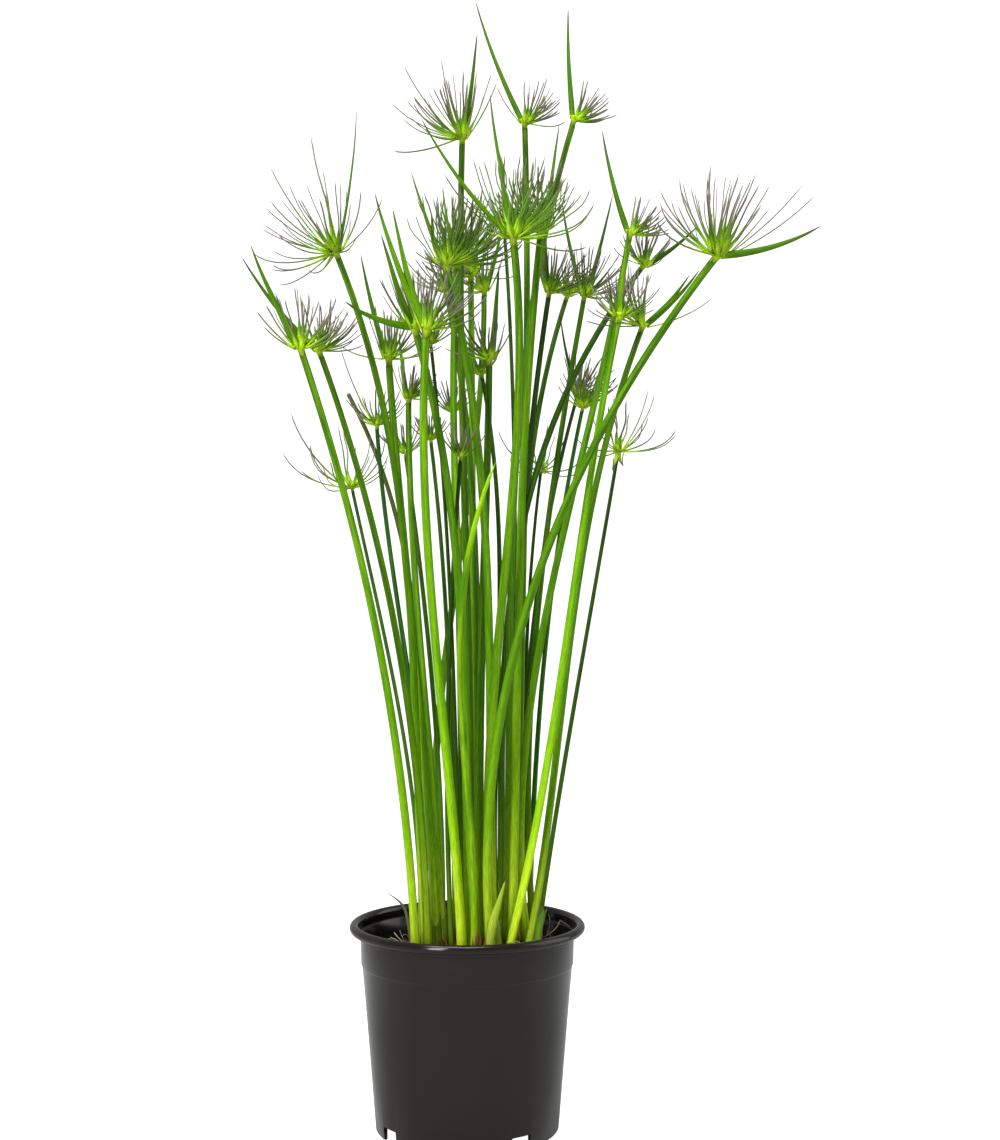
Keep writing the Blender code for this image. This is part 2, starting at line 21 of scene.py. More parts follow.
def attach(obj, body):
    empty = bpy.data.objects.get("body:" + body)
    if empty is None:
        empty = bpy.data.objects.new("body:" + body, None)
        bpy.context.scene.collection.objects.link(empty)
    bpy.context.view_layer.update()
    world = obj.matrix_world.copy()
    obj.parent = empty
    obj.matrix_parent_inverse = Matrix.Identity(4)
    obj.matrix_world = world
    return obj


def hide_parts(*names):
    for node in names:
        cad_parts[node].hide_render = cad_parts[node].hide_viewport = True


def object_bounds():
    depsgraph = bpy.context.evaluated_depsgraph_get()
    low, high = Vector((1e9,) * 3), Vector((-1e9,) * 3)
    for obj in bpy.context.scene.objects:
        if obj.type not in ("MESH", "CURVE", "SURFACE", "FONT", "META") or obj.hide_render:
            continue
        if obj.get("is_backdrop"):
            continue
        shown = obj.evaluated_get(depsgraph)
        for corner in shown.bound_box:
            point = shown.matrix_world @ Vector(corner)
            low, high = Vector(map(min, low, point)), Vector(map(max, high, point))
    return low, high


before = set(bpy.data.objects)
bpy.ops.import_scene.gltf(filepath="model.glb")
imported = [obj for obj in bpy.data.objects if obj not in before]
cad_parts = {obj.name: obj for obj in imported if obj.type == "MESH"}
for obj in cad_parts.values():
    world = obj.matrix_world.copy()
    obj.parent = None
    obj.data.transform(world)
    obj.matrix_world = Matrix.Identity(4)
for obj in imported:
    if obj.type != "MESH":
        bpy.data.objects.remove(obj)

LOG = logging.getLogger("papyrus")

MM = 0.001
UP = Vector((0.0, 0.0, 1.0))
ACROSS = Vector((1.0, 0.0, 0.0))
BODY = "root"

# The clump is laid out as it looks from this point, on the upright plane through the pot's axis
VIEW_POINT = Vector((19.4 * MM, -1042.6 * MM, 331.2 * MM))
LENS = 55.26
SENSOR = 36.0

CROWN_TOP = 106.5 * MM
FOOT_Z = CROWN_TOP + 0.3 * MM

Reading = tuple[float, float]
Colour = tuple[float, float, float]
Ring = tuple[Vector, Vector, Vector]
Stops = tuple[tuple[float, Colour], ...]
Surface = tuple[NodeSocket, NodeSocket, NodeSocket]


class Tone(Enum):
    """The greens and browns that the stems of the clump show: sunlit, mid, shade and bluish are one
    green painted lighter and darker as painted light and shade, fresh and dry are the own colours
    of a young shoot and a dead stem.
    """

    SUNLIT = "sunlit"
    MID = "mid"
    SHADE = "shade"
    BLUISH = "bluish"
    FRESH = "fresh"
    DRY = "dry"


class Habit(Enum):
    """How the rays of a head stand."""

    FULL = "full"
    DENSE = "dense"
    SIDED = "sided"
    SPARSE = "sparse"
    CLAWED = "clawed"


class Slot(Enum):
    """Material slots of the record."""

    POT = "pot"
    SOIL = "soil"
    RHIZOME = "rhizome"
    STEM = "stem"
    SHOOT = "young_shoot"
    DRY_STEM = "dry_stem"
    SHEATH = "sheath"


class Reading4(NamedTuple):
    """How far right of the pot's axis a stem is at four heights, from its foot to its head."""

    foot: float
    third: float
    two_thirds: float
    head: float


class Stem(NamedTuple):
    """One stem in millimetres, as seen from the view point.

    It holds its node, tone, lane from front to back, lean, the height of its head, its width, the
    length of its rays, the tips (x, z) of its leaf blades and of its longest rays, and how its rays
    stand.
    """

    node: str
    tone: Tone
    lane: int
    lean: Reading4
    head: float
    width: float
    rays: float
    blades: tuple[Reading, ...] = ()
    tips: tuple[Reading, ...] = ()
    habit: Habit = Habit.FULL


STEMS = (
    Stem("stem_01", Tone.MID, -4, Reading4(-31, -42, -65, -100), 465, 4.9, 35,
         ((-130, 527),), ((-126, 486), (-122, 477), (-81, 486))),
    Stem("stem_02", Tone.SUNLIT, -4, Reading4(-3, -13, -24, -24), 477, 5.7, 39,
         ((-45, 549), (-56, 559))),
    Stem("young_shoot", Tone.FRESH, -4, Reading4(4, 0, -4, 17), 396, 4.8, 0),
    Stem("stem_03", Tone.MID, -4, Reading4(14, 19, 63, 150), 520, 5.4, 51,
         ((212, 537),), ((114, 559), (128, 564), (145, 574), (158, 567), (209, 556), (201, 562))),
    Stem("stem_04", Tone.MID, -3, Reading4(-24, -32, -53, -89), 463, 4.3, 30,
         ((-136, 520),), ((-81, 488),), Habit.SIDED),
    Stem("stem_05", Tone.MID, -3, Reading4(2, -1, -8, -32), 477, 5.4, 36,
         ((-52, 533), (-74, 492))),
    Stem("stem_06", Tone.SUNLIT, -3, Reading4(18, 15, 28, 27), 531, 5.7, 45,
         ((-29, 603), (13, 618)), ((-15, 569),), Habit.DENSE),
    Stem("stem_07", Tone.SUNLIT, -3, Reading4(24, 50, 69, 91), 484, 4.8, 30, ((96, 537),)),
    Stem("stem_08", Tone.MID, -2, Reading4(-24, -31, -42, -79), 522, 4.8, 50,
         ((-66, 608),), ((-119, 574), (-94, 593), (-50, 554), (-112, 536), (-113, 501)),
         Habit.SPARSE),
    Stem("stem_09", Tone.SHADE, -2, Reading4(-9, -12, -10, -4), 400, 3.0, 21),
    Stem("stem_10", Tone.MID, -2, Reading4(16, 14, 9, -13), 515, 5.4, 39, ((-34, 570),),
         (), Habit.DENSE),
    Stem("stem_11", Tone.SUNLIT, -2, Reading4(26, 29, 33, 44), 535, 5.4, 36, ((55, 599),),
         (), Habit.DENSE),
    Stem("stem_12", Tone.MID, -2, Reading4(36, 54, 71, 105), 478, 4.5, 37,
         ((139, 511), (133, 508)), ((147, 494),), Habit.SIDED),
    Stem("stem_13", Tone.MID, -1, Reading4(-18, -26, -37, -47), 459, 5.4, 35,
         ((-64, 521),), ((-76, 465),)),
    Stem("stem_14", Tone.SUNLIT, -1, Reading4(0, -1, -7, -6), 516, 5.1, 42, ((-15, 561),),
         (), Habit.DENSE),
    Stem("stem_15", Tone.MID, -1, Reading4(9, 7, 10, 13), 459, 5.4, 29, ((19, 515),)),
    Stem("stem_16", Tone.MID, -1, Reading4(22, 25, 32, 64), 601, 4.5, 25,
         ((60, 668),), ((90, 603), (85, 611)), Habit.SIDED),
    Stem("stem_17", Tone.MID, -1, Reading4(36, 37, 66, 97), 533, 4.8, 24,
         ((80, 595),), ((115, 543),), Habit.SIDED),
    Stem("stem_18", Tone.BLUISH, 0, Reading4(-21, -27, -42, -54), 419, 3.3, 27, (), ((-76, 465),),
         Habit.SPARSE),
    Stem("stem_19", Tone.SHADE, 0, Reading4(-4, -7, -12, -22), 467, 2.7, 25),
    Stem("stem_20", Tone.MID, 0, Reading4(1, 1, -3, -3), 590, 4.8, 42,
         ((6, 653),), ((-46, 610), (-39, 634), (-16, 638), (18, 623), (-45, 581))),
    Stem("stem_21", Tone.SHADE, 0, Reading4(19, 21, 38, 106), 514, 4.5, 27,
         ((138, 537),), ((122, 528),)),
    Stem("stem_22", Tone.SHADE, 0, Reading4(41, 56, 73, 90), 403, 3.0, 37,
         (), ((125, 416), (108, 440), (84, 430), (112, 438)), Habit.CLAWED),
    Stem("stem_23", Tone.SHADE, 1, Reading4(-28, -33, -49, -69), 381, 2.7, 42,
         (), ((-106, 427), (-111, 403), (-77, 418), (-49, 409)), Habit.CLAWED),
    Stem("stem_24", Tone.MID, 1, Reading4(-14, -22, -31, -35), 435, 4.8, 25, ((-41, 474),)),
    Stem("stem_25", Tone.MID, 1, Reading4(8, 6, 3, -13), 499, 4.8, 30),
    Stem("stem_26", Tone.SHADE, 1, Reading4(29, 28, 34, 49), 498, 4.2, 35, ((46, 549),)),
    Stem("stem_27", Tone.MID, 1, Reading4(40, 37, 49, 70), 496, 4.2, 35, ((56, 553), (87, 557))),
    Stem("cut_stem", Tone.DRY, 2, Reading4(-16, -26, -35, -71), 436, 3.6, 0),
    Stem("stem_28", Tone.SHADE, 2, Reading4(-3, -4, -6, -9), 427, 3.6, 21),
    Stem("stem_29", Tone.SUNLIT, 2, Reading4(4, 3, 3, 2), 508, 5.1, 36, ((9, 561),),
         (), Habit.DENSE),
    Stem("stem_30", Tone.SHADE, 2, Reading4(18, 17, 19, 8), 449, 3.4, 21),
    Stem("stem_31", Tone.MID, 2, Reading4(31, 32, 35, 34), 599, 4.8, 29,
         ((4, 673),), ((17, 620), (48, 626), (56, 611)), Habit.SIDED),
    Stem("stem_32", Tone.BLUISH, 2, Reading4(37, 41, 51, 69), 429, 3.3, 29),
    Stem("stem_33", Tone.SHADE, 3, Reading4(-15, -17, -25, -37), 402, 3.4, 24),
    Stem("stem_34", Tone.SHADE, 3, Reading4(-7, -9, -13, -22), 410, 3.2, 21),
    Stem("stem_35", Tone.SHADE, 3, Reading4(27, 28, 28, 22), 535, 3.0, 29),
    Stem("stem_36", Tone.SHADE, 3, Reading4(31, 33, 43, 66), 437, 3.0, 30, ((55, 486),)),
    Stem("stem_37", Tone.SUNLIT, 4, Reading4(-14, -17, 0, 10), 499, 4.8, 27, ((22, 543),)),
    Stem("stem_38", Tone.SHADE, 4, Reading4(32, 32, 35, 60), 496, 4.2, 25),
    Stem("stem_39", Tone.SHADE, 4, Reading4(40, 35, 36, 44), 391, 2.7, 33, (), ((18, 416),),
         Habit.CLAWED),
)


def seen(x: float, z: float, y: float) -> Vector:
    """A point given by where it looks to be from the view point.

    Args:
        x: How far right of the pot's axis it looks to be.
        z: How high it looks to be.
        y: Its depth.

    Returns:
        The point at that depth.
    """
    reach = 1 - y / VIEW_POINT.y
    offset = Vector((x, 0.0, z)) - VIEW_POINT
    return Vector((VIEW_POINT.x + offset.x * reach, y, VIEW_POINT.z + offset.z * reach))


def flat_view(point: Vector) -> Vector:
    """Where a point looks to be on the upright plane through the pot's axis.

    Args:
        point: A point of the clump.

    Returns:
        The (x, z) of the point as seen from the view point.
    """
    reach = 1 - point.y / VIEW_POINT.y
    offset = point - VIEW_POINT
    return Vector((VIEW_POINT.x + offset.x / reach, VIEW_POINT.z + offset.z / reach))


def cubic(readings: Reading4, t: float) -> float:
    """Value of the smooth curve through four evenly spaced readings.

    Args:
        readings: The curve's values at 0, 1/3, 2/3 and 1.
        t: Where the value is wanted, from 0 to 1.

    Returns:
        The value at t.
    """
    return (
        readings.foot * (1 - 3 * t) * (2 - 3 * t) * (1 - t) / 2
        + readings.third * 9 * t * (2 - 3 * t) * (1 - t) / 2
        + readings.two_thirds * 9 * t * (3 * t - 1) * (1 - t) / 2
        + readings.head * t * (3 * t - 1) * (3 * t - 2) / 2
    )


def between(low: float, high: float, share: float) -> float:
    """The value at a share of the way from low to high, which stays between them."""
    return low + (high - low) * min(max(share, 0.0), 1.0)


def heading(turn: float) -> Vector:
    """The level way at an angle from +X."""
    return Vector((math.cos(turn), math.sin(turn), 0.0))


def linear(*shade: int) -> Colour:
    """A colour in linear light from its 0 to 255 screen values."""
    values = [channel / 255 for channel in shade]
    return tuple(v / 12.92 if v <= 0.04045 else ((v + 0.055) / 1.055) ** 2.4 for v in values)


# ---- node graphs


class Graph:
    """Adds nodes to one node tree."""

    def __init__(self, tree: NodeTree) -> None:
        """Work on the given tree."""
        self.tree = tree

    def node(self, kind: str, inputs: dict | None = None, **settings: object) -> Node:
        """Add a node.

        Args:
            kind: The node's type name.
            inputs: Values or sockets for its inputs, by name or number.
            settings: Values for the node's own properties.

        Returns:
            The new node.
        """
        made = self.tree.nodes.new(kind)
        for name, value in settings.items():
            setattr(made, name, value)
        for name, value in (inputs or {}).items():
            if isinstance(value, NodeSocket):
                self.tree.links.new(value, made.inputs[name])
            else:
                made.inputs[name].default_value = value
        return made

    def maths(self, operation: str, *values: object) -> NodeSocket:
        """One operation, such as ADD or MULTIPLY, on values or sockets."""
        inputs = dict(enumerate(values))
        return self.node("ShaderNodeMath", inputs, operation=operation).outputs[0]

    def noise(self, place: NodeSocket, scale: object, detail: float,
              roughness: float = 0.5) -> NodeSocket:
        """Soft noise from 0 to 1."""
        inputs = {"Vector": place, "Scale": scale, "Detail": detail, "Roughness": roughness}
        return self.node("ShaderNodeTexNoise", inputs).outputs["Fac"]

    def attribute(self, name: str, output: str = "Fac") -> NodeSocket:
        """One of the piece's own attributes."""
        return self.node("ShaderNodeAttribute", attribute_name=name).outputs[output]

    def blend(self, share: object, first: object, second: object,
              way: str = "MIX") -> NodeSocket:
        """A mix of two colours.

        Args:
            share: How much of the second colour is in it, from 0 to 1.
            first: A colour, grey or socket.
            second: A colour, grey or socket.
            way: How the two are blended.

        Returns:
            The mixed colour.
        """
        inputs = {0: share, 6: self.colour(first), 7: self.colour(second)}
        mix = self.node("ShaderNodeMix", inputs, data_type="RGBA", blend_type=way)
        return mix.outputs[2]

    def ramp(self, share: object, stops: Stops) -> NodeSocket:
        """A colour that changes along stops.

        Args:
            share: Where on the ramp the surface is, from 0 to 1.
            stops: Positions and their colours.

        Returns:
            The colour at that place.
        """
        made = self.node("ShaderNodeValToRGB", {0: share})
        elements = made.color_ramp.elements
        while len(elements) < len(stops):
            elements.new(1.0)
        for element, (position, value) in zip(elements, stops):
            element.position = position
            element.color = self.colour(value)
        return made.outputs[0]

    def reach(self, value: object, low: float, high: float, to_low: float,
              to_high: float) -> NodeSocket:
        """A value taken from one range to another, held at its ends."""
        inputs = dict(enumerate((value, low, high, to_low, to_high)))
        return self.node("ShaderNodeMapRange", inputs).outputs[0]

    def feed(self, node: Node, sockets: dict[str, NodeSocket]) -> None:
        """Link sockets to a node's named inputs."""
        for name, socket in sockets.items():
            self.tree.links.new(socket, node.inputs[name])

    @staticmethod
    def colour(value: object) -> object:
        """A colour in the form that a node takes.

        Args:
            value: A socket, a grey or a colour.

        Returns:
            A socket as it is, and a grey or a colour as four numbers.
        """
        if isinstance(value, NodeSocket):
            return value
        if isinstance(value, (int, float)):
            return (value, value, value, 1.0)
        return (*value, 1.0)


class Groups:
    """Shader node groups that several finishes share, each built once."""

    made: dict[str, NodeTree] = {}

    @classmethod
    def new(cls, name: str, inputs: dict[str, float | None],
            outputs: tuple[str, ...]) -> tuple[Graph, NodeOutputs]:
        """Start a group with named sockets.

        Args:
            name: The group's name.
            inputs: Its inputs with their values, or None for a vector.
            outputs: Its outputs, which are all single values.

        Returns:
            The group's graph, and the sockets that its inputs come in by.
        """
        tree = bpy.data.node_groups.new(name, "ShaderNodeTree")
        for label, value in inputs.items():
            kind = "NodeSocketVector" if value is None else "NodeSocketFloat"
            socket = tree.interface.new_socket(label, in_out="INPUT", socket_type=kind)
            if value is not None:
                socket.default_value = value
        for label in outputs:
            tree.interface.new_socket(label, in_out="OUTPUT", socket_type="NodeSocketFloat")
        cls.made[name] = tree
        graph = Graph(tree)
        return graph, graph.node("NodeGroupInput").outputs

    @classmethod
    def fibre(cls) -> NodeTree:
        """Long fibres and broad stripes that run along a stem, blade or ray.

        Returns:
            The group.
        """
        name = "plant_fibre"
        if name not in cls.made:
            graph, entry = cls.new(name, {"Grain": None, "Fineness": 5.0, "Breadth": 1.2},
                                   ("Fibre", "Stripe", "Height"))
            fibre = graph.noise(entry["Grain"], entry["Fineness"], 2.0, 0.6)
            stripe = graph.noise(entry["Grain"], entry["Breadth"], 1.0)
            graph.node("NodeGroupOutput", {
                "Fibre": graph.reach(fibre, 0.3, 0.7, 0.0, 1.0),
                "Stripe": graph.reach(stripe, 0.35, 0.65, 0.0, 1.0),
                "Height": fibre,
            })
        return cls.made[name]

    @classmethod
    def crumb(cls) -> NodeTree:
        """Coarse and fine grains with scattered pale specks.

        Returns:
            The group.
        """
        name = "earth_crumb"
        if name not in cls.made:
            graph, entry = cls.new(name, {"Place": None, "Coarse": 300.0, "Fine": 1600.0},
                                   ("Grain", "Speck", "Height"))
            coarse = graph.noise(entry["Place"], entry["Coarse"], 4.0, 0.65)
            fine = graph.node("ShaderNodeTexVoronoi", {
                "Vector": entry["Place"], "Scale": entry["Fine"],
            }).outputs["Distance"]
            graph.node("NodeGroupOutput", {
                "Grain": graph.reach(coarse, 0.3, 0.7, 0.0, 1.0),
                "Speck": graph.reach(fine, 0.12, 0.3, 1.0, 0.0),
                "Height": graph.maths("ADD", coarse, graph.maths("MULTIPLY", fine, 0.5)),
            })
        return cls.made[name]


@dataclass(frozen=True)
class Finish:
    """What every finish shares: a name, how rough and glossy it is and how deep its bumps are."""

    name: str
    roughness: float = 0.5
    bump: float = 0.3
    bump_depth: float = 0.2 * MM
    specular: float = 0.09

    def surface(self, graph: Graph) -> Surface:
        """The colour, roughness and height of the surface, which each kind of finish gives."""
        raise NotImplementedError

    def material(self) -> Material:
        """Make the finish.

        Returns:
            The new material.
        """
        material = bpy.data.materials.new(self.name)
        material.use_nodes = True
        graph = Graph(material.node_tree)
        shader = material.node_tree.nodes["Principled BSDF"]
        shader.inputs["Roughness"].default_value = self.roughness
        shader.inputs["Specular IOR Level"].default_value = self.specular
        colour, rough, height = self.surface(graph)
        bump = graph.node("ShaderNodeBump", {
            "Height": height, "Strength": self.bump, "Distance": self.bump_depth,
        }).outputs["Normal"]
        graph.feed(shader, {"Base Color": colour, "Roughness": rough, "Normal": bump})
        return material


@dataclass(frozen=True)
class PlantFinish(Finish):
    """Green tissue whose colour changes along the piece, with fibres and a light stripe."""

    stops: Stops = ()
    stripe: Colour = (0.3, 0.5, 0.05)
    stripe_share: float = 0.3
    darker: float = 0.6
    fineness: float = 5.0
    breadth: float = 1.2
    variety: float = 0.25

    def surface(self, graph: Graph) -> Surface:
        """Colours along the piece, striped and shaded by its fibres.

        Args:
            graph: The material's nodes.

        Returns:
            The colour, roughness and height.
        """
        fibre = graph.node("ShaderNodeGroup", {
            "Grain": graph.attribute("grain", "Vector"), "Fineness": self.fineness,
            "Breadth": self.breadth,
        }, node_tree=Groups.fibre()).outputs
        along = graph.ramp(graph.attribute("along"), self.stops)
        share = graph.maths("MULTIPLY", fibre["Stripe"], self.stripe_share)
        striped = graph.blend(share, along, self.stripe)
        shade = graph.reach(fibre["Fibre"], 0.0, 1.0, self.darker, 1.0)
        own = graph.reach(graph.attribute("shade"), -1.0, 1.0, 1 - self.variety, 1 + self.variety)
        level = graph.maths("MULTIPLY", shade, own)
        grey = graph.node("ShaderNodeCombineColor", {0: level, 1: level, 2: level}).outputs[0]
        colour = graph.blend(1.0, striped, grey, "MULTIPLY")
        rough = graph.reach(fibre["Fibre"], 0.0, 1.0, self.roughness - 0.06, self.roughness + 0.08)
        return colour, rough, fibre["Height"]


@dataclass(frozen=True)
class PlasticFinish(Finish):
    """Moulded nursery-pot plastic: faint flow streaks, fine scuffs, and dusty plastic with a
    painted highlight near the rim.
    """

    colour: Colour = (0.03, 0.026, 0.022)
    dust_and_highlight: Colour = (0.12, 0.1, 0.08)
    dust_and_highlight_from: float = 98 * MM
    dust_and_highlight_full: float = 122 * MM
    streak_stretch: float = 0.08

    def surface(self, graph: Graph) -> Surface:
        """Streaked plastic that is dusty, with a painted highlight, and duller near its top.

        Args:
            graph: The material's nodes.

        Returns:
            The colour, roughness and height.
        """
        place = graph.node("ShaderNodeTexCoord").outputs["Object"]
        stretch = (1.0, 1.0, self.streak_stretch)
        tall = graph.node("ShaderNodeMapping", {"Vector": place, "Scale": stretch}).outputs[0]
        streak = graph.noise(tall, 60.0, 3.0, 0.55)
        cloud = graph.noise(place, 22.0, 5.0, 0.6)
        scuff = graph.noise(place, 420.0, 2.0)
        height = graph.node("ShaderNodeSeparateXYZ", {0: place}).outputs[2]
        # Paler in clouds towards the rim: dusty plastic, and a painted highlight on the rim.
        top = graph.reach(height, self.dust_and_highlight_from, self.dust_and_highlight_full, 0.0, 1.0)
        dust_and_highlight_mask = graph.maths("MULTIPLY", graph.reach(cloud, 0.5, 0.72, 0.0, 0.55), top)
        paler = tuple(channel * 1.5 for channel in self.colour)
        base = graph.blend(graph.reach(streak, 0.35, 0.7, 0.0, 0.35), self.colour, paler)
        gloss = graph.reach(cloud, 0.3, 0.7, self.roughness - 0.05, self.roughness + 0.07)
        rough = graph.maths("ADD", gloss, graph.maths("MULTIPLY", dust_and_highlight_mask, 0.3))
        relief = graph.maths("ADD", streak, graph.maths("MULTIPLY", scuff, 0.3))
        return graph.blend(dust_and_highlight_mask, base, self.dust_and_highlight), rough, relief


@dataclass(frozen=True)
class EarthFinish(Finish):
    """Damp peat, bark or woody crown: two browns, pale specks and a crumbly surface."""

    dark: Colour = (0.01, 0.007, 0.005)
    light: Colour = (0.04, 0.025, 0.015)
    speck: Colour = (0.2, 0.14, 0.08)
    specks: float = 0.15
    coarse: float = 300.0
    fine: float = 1600.0

    def surface(self, graph: Graph) -> Surface:
        """Browns by coarse grain, with specks, duller where it is pale.

        Args:
            graph: The material's nodes.

        Returns:
            The colour, roughness and height.
        """
        crumb = graph.node("ShaderNodeGroup", {
            "Place": graph.node("ShaderNodeTexCoord").outputs["Object"],
            "Coarse": self.coarse, "Fine": self.fine,
        }, node_tree=Groups.crumb()).outputs
        base = graph.blend(crumb["Grain"], self.dark, self.light)
        share = graph.maths("MULTIPLY", crumb["Speck"], self.specks)
        rough = graph.reach(crumb["Grain"], 0.0, 1.0, self.roughness - 0.15, self.roughness)
        return graph.blend(share, base, self.speck), rough, crumb["Height"]


@dataclass(frozen=True)
class ToneColours:
    """The colours of one tone, from the foot of a stem to the ends of its rays."""

    foot: Colour
    low: Colour
    middle: Colour
    high: Colour
    stripe: Colour
    blade: Colour
    blade_tip: Colour


def tone_colours(*shades: tuple[int, int, int]) -> ToneColours:
    """A tone's seven colours, in the order of its fields, from screen values."""
    return ToneColours(*(linear(*shade) for shade in shades))


def ramp_stops(*rows: tuple[float, int, int, int]) -> Stops:
    """Stops of a ramp from rows of a position and a colour's screen values."""
    return tuple((position, linear(*shade)) for position, *shade in rows)


# The sunlit, mid, shade and bluish rows are one green with painted light and shade.
TONES: dict[Tone, ToneColours] = {
    Tone.SUNLIT: tone_colours((224, 251, 51), (156, 209, 11), (103, 167, 2), (79, 136, 4),
                              (145, 200, 22), (90, 146, 5), (68, 77, 29)),
    Tone.MID: tone_colours((200, 231, 46), (128, 183, 9), (84, 143, 2), (64, 114, 4),
                           (125, 183, 18), (76, 127, 5), (62, 68, 31)),
    Tone.SHADE: tone_colours((141, 172, 35), (81, 128, 9), (51, 95, 2), (42, 77, 7),
                             (81, 132, 18), (58, 102, 8), (55, 59, 33)),
    Tone.BLUISH: tone_colours((123, 163, 44), (62, 119, 15), (37, 92, 13), (33, 77, 18),
                              (73, 136, 37), (40, 97, 15), (51, 62, 37)),
    Tone.FRESH: tone_colours((187, 218, 44), (106, 163, 9), (81, 143, 2), (161, 224, 0),
                             (176, 227, 22), (132, 194, 0), (165, 194, 33)),
    Tone.DRY: tone_colours((121, 123, 48), (90, 116, 30), (74, 104, 24), (60, 76, 26),
                           (123, 128, 59), (84, 92, 40), (68, 62, 40)),
}
HUB_LIME = linear(192, 236, 8)
RAY_LIME = linear(176, 224, 10)
RAY_GREEN = linear(106, 160, 12)
RAY_MIDDLE = linear(104, 142, 36)
RAY_OLIVE = linear(104, 112, 68)
RAY_TIP = linear(128, 120, 110)
RAY_END = linear(134, 126, 118)

# The hub is dark where it leaves the stem, painted shade under its rays, and lime from a third of
# the way up.
HUB = PlantFinish(
    "hub", 0.45, 0.4, 0.12 * MM,
    stops=ramp_stops((0.0, 44, 70, 10), (0.14, 96, 140, 12), (0.34, 192, 236, 8),
                     (1.0, 200, 240, 14)),
    stripe=linear(222, 246, 70), stripe_share=0.35, darker=0.76, fineness=6.0, breadth=2.0,
    variety=0.12,
)
SHEATH = PlantFinish(
    "sheath", 0.6, 0.5, 0.12 * MM,
    stops=ramp_stops((0.0, 112, 84, 26), (0.12, 164, 172, 44), (0.4, 176, 204, 54),
                     (0.86, 152, 190, 40), (1.0, 190, 204, 96)),
    stripe=linear(190, 208, 84), stripe_share=0.4, darker=0.55, fineness=8.0, breadth=2.5,
)
DEAD_SCALE = PlantFinish(
    "scale", 0.75, 0.6, 0.15 * MM,
    stops=ramp_stops((0.0, 66, 34, 18), (0.5, 112, 62, 30), (1.0, 140, 94, 50)),
    stripe=linear(166, 122, 72), stripe_share=0.3, darker=0.45, fineness=9.0, breadth=2.5,
)
ROOT_FIBRE = PlantFinish(
    "root_fibre", 0.8, 0.5, 0.1 * MM,
    stops=ramp_stops((0.0, 120, 92, 70), (0.5, 176, 156, 132), (1.0, 206, 194, 176)),
    stripe=linear(224, 214, 198), stripe_share=0.3, darker=0.6, fineness=3.0, breadth=1.0,
    variety=0.35,
)
DRY_LEAF = PlantFinish(
    "dry_leaf", 0.7, 0.5, 0.1 * MM,
    stops=ramp_stops((0.0, 96, 110, 52), (0.3, 104, 104, 72), (1.0, 92, 88, 76)),
    stripe=linear(140, 138, 112), stripe_share=0.4, fineness=8.0, breadth=2.0,
)
CUT_STUB = PlantFinish(
    "cut_stub", 0.5, 0.4, 0.12 * MM,
    stops=ramp_stops((0.0, 150, 160, 48), (0.45, 96, 142, 32), (0.8, 64, 104, 30),
                     (0.92, 34, 38, 22), (1.0, 26, 24, 18)),
    stripe=linear(150, 188, 70), stripe_share=0.4, fineness=6.0, breadth=1.4,
)
POT_PLASTIC = PlasticFinish(
    "pot_plastic", 0.14, 0.08, 0.05 * MM, 0.38, colour=linear(17, 13, 9), dust_and_highlight=linear(58, 52, 46),
)
PEAT = EarthFinish(
    "peat", 0.95, 0.8, 1.2 * MM, dark=linear(20, 14, 11), light=linear(52, 38, 28),
    speck=linear(134, 112, 84), specks=0.1, coarse=260, fine=1300,
)
CROWN_WOOD = EarthFinish(
    "woody_crown", 0.9, 0.8, 1.0 * MM, dark=linear(34, 24, 14), light=linear(98, 70, 36),
    speck=linear(150, 126, 70), specks=0.2, coarse=340, fine=1500,
)


@dataclass(frozen=True)
class RayStand:
    """How the rays of a head stand.

    It holds how crowded they are, how far the outer ones lean out, how far they bow, the share of
    them that droop, the share of their length that is green, how far they sway, their length beside
    the listed one, how far they lean away from the first blade, the breadth of the head's blades,
    and the share of a ray that is a broad strap.
    """

    crowd: float
    spread_deg: float
    curl: float
    drooping: float
    green: float
    waves: float = 0.012
    reach: float = 1.0
    lean: float = 0.5
    blade: float = 1.0
    strap: float = 0.42


RAY_STANDS: dict[Habit, RayStand] = {
    Habit.FULL: RayStand(0.95, 57.0, 0.16, 0.02, 0.5),
    Habit.DENSE: RayStand(1.7, 52.0, 0.2, 0.05, 0.9, waves=0.05, reach=1.12, blade=0.75,
                          strap=0.27),
    Habit.SIDED: RayStand(0.88, 50.0, 0.16, 0.0, 0.52, lean=1.0),
    Habit.SPARSE: RayStand(0.8, 66.0, 0.2, 0.14, 0.5, blade=0.5, strap=0.34),
    Habit.CLAWED: RayStand(0.46, 74.0, 0.36, 0.2, 0.5, waves=0.03, blade=0.6, strap=0.3),
}


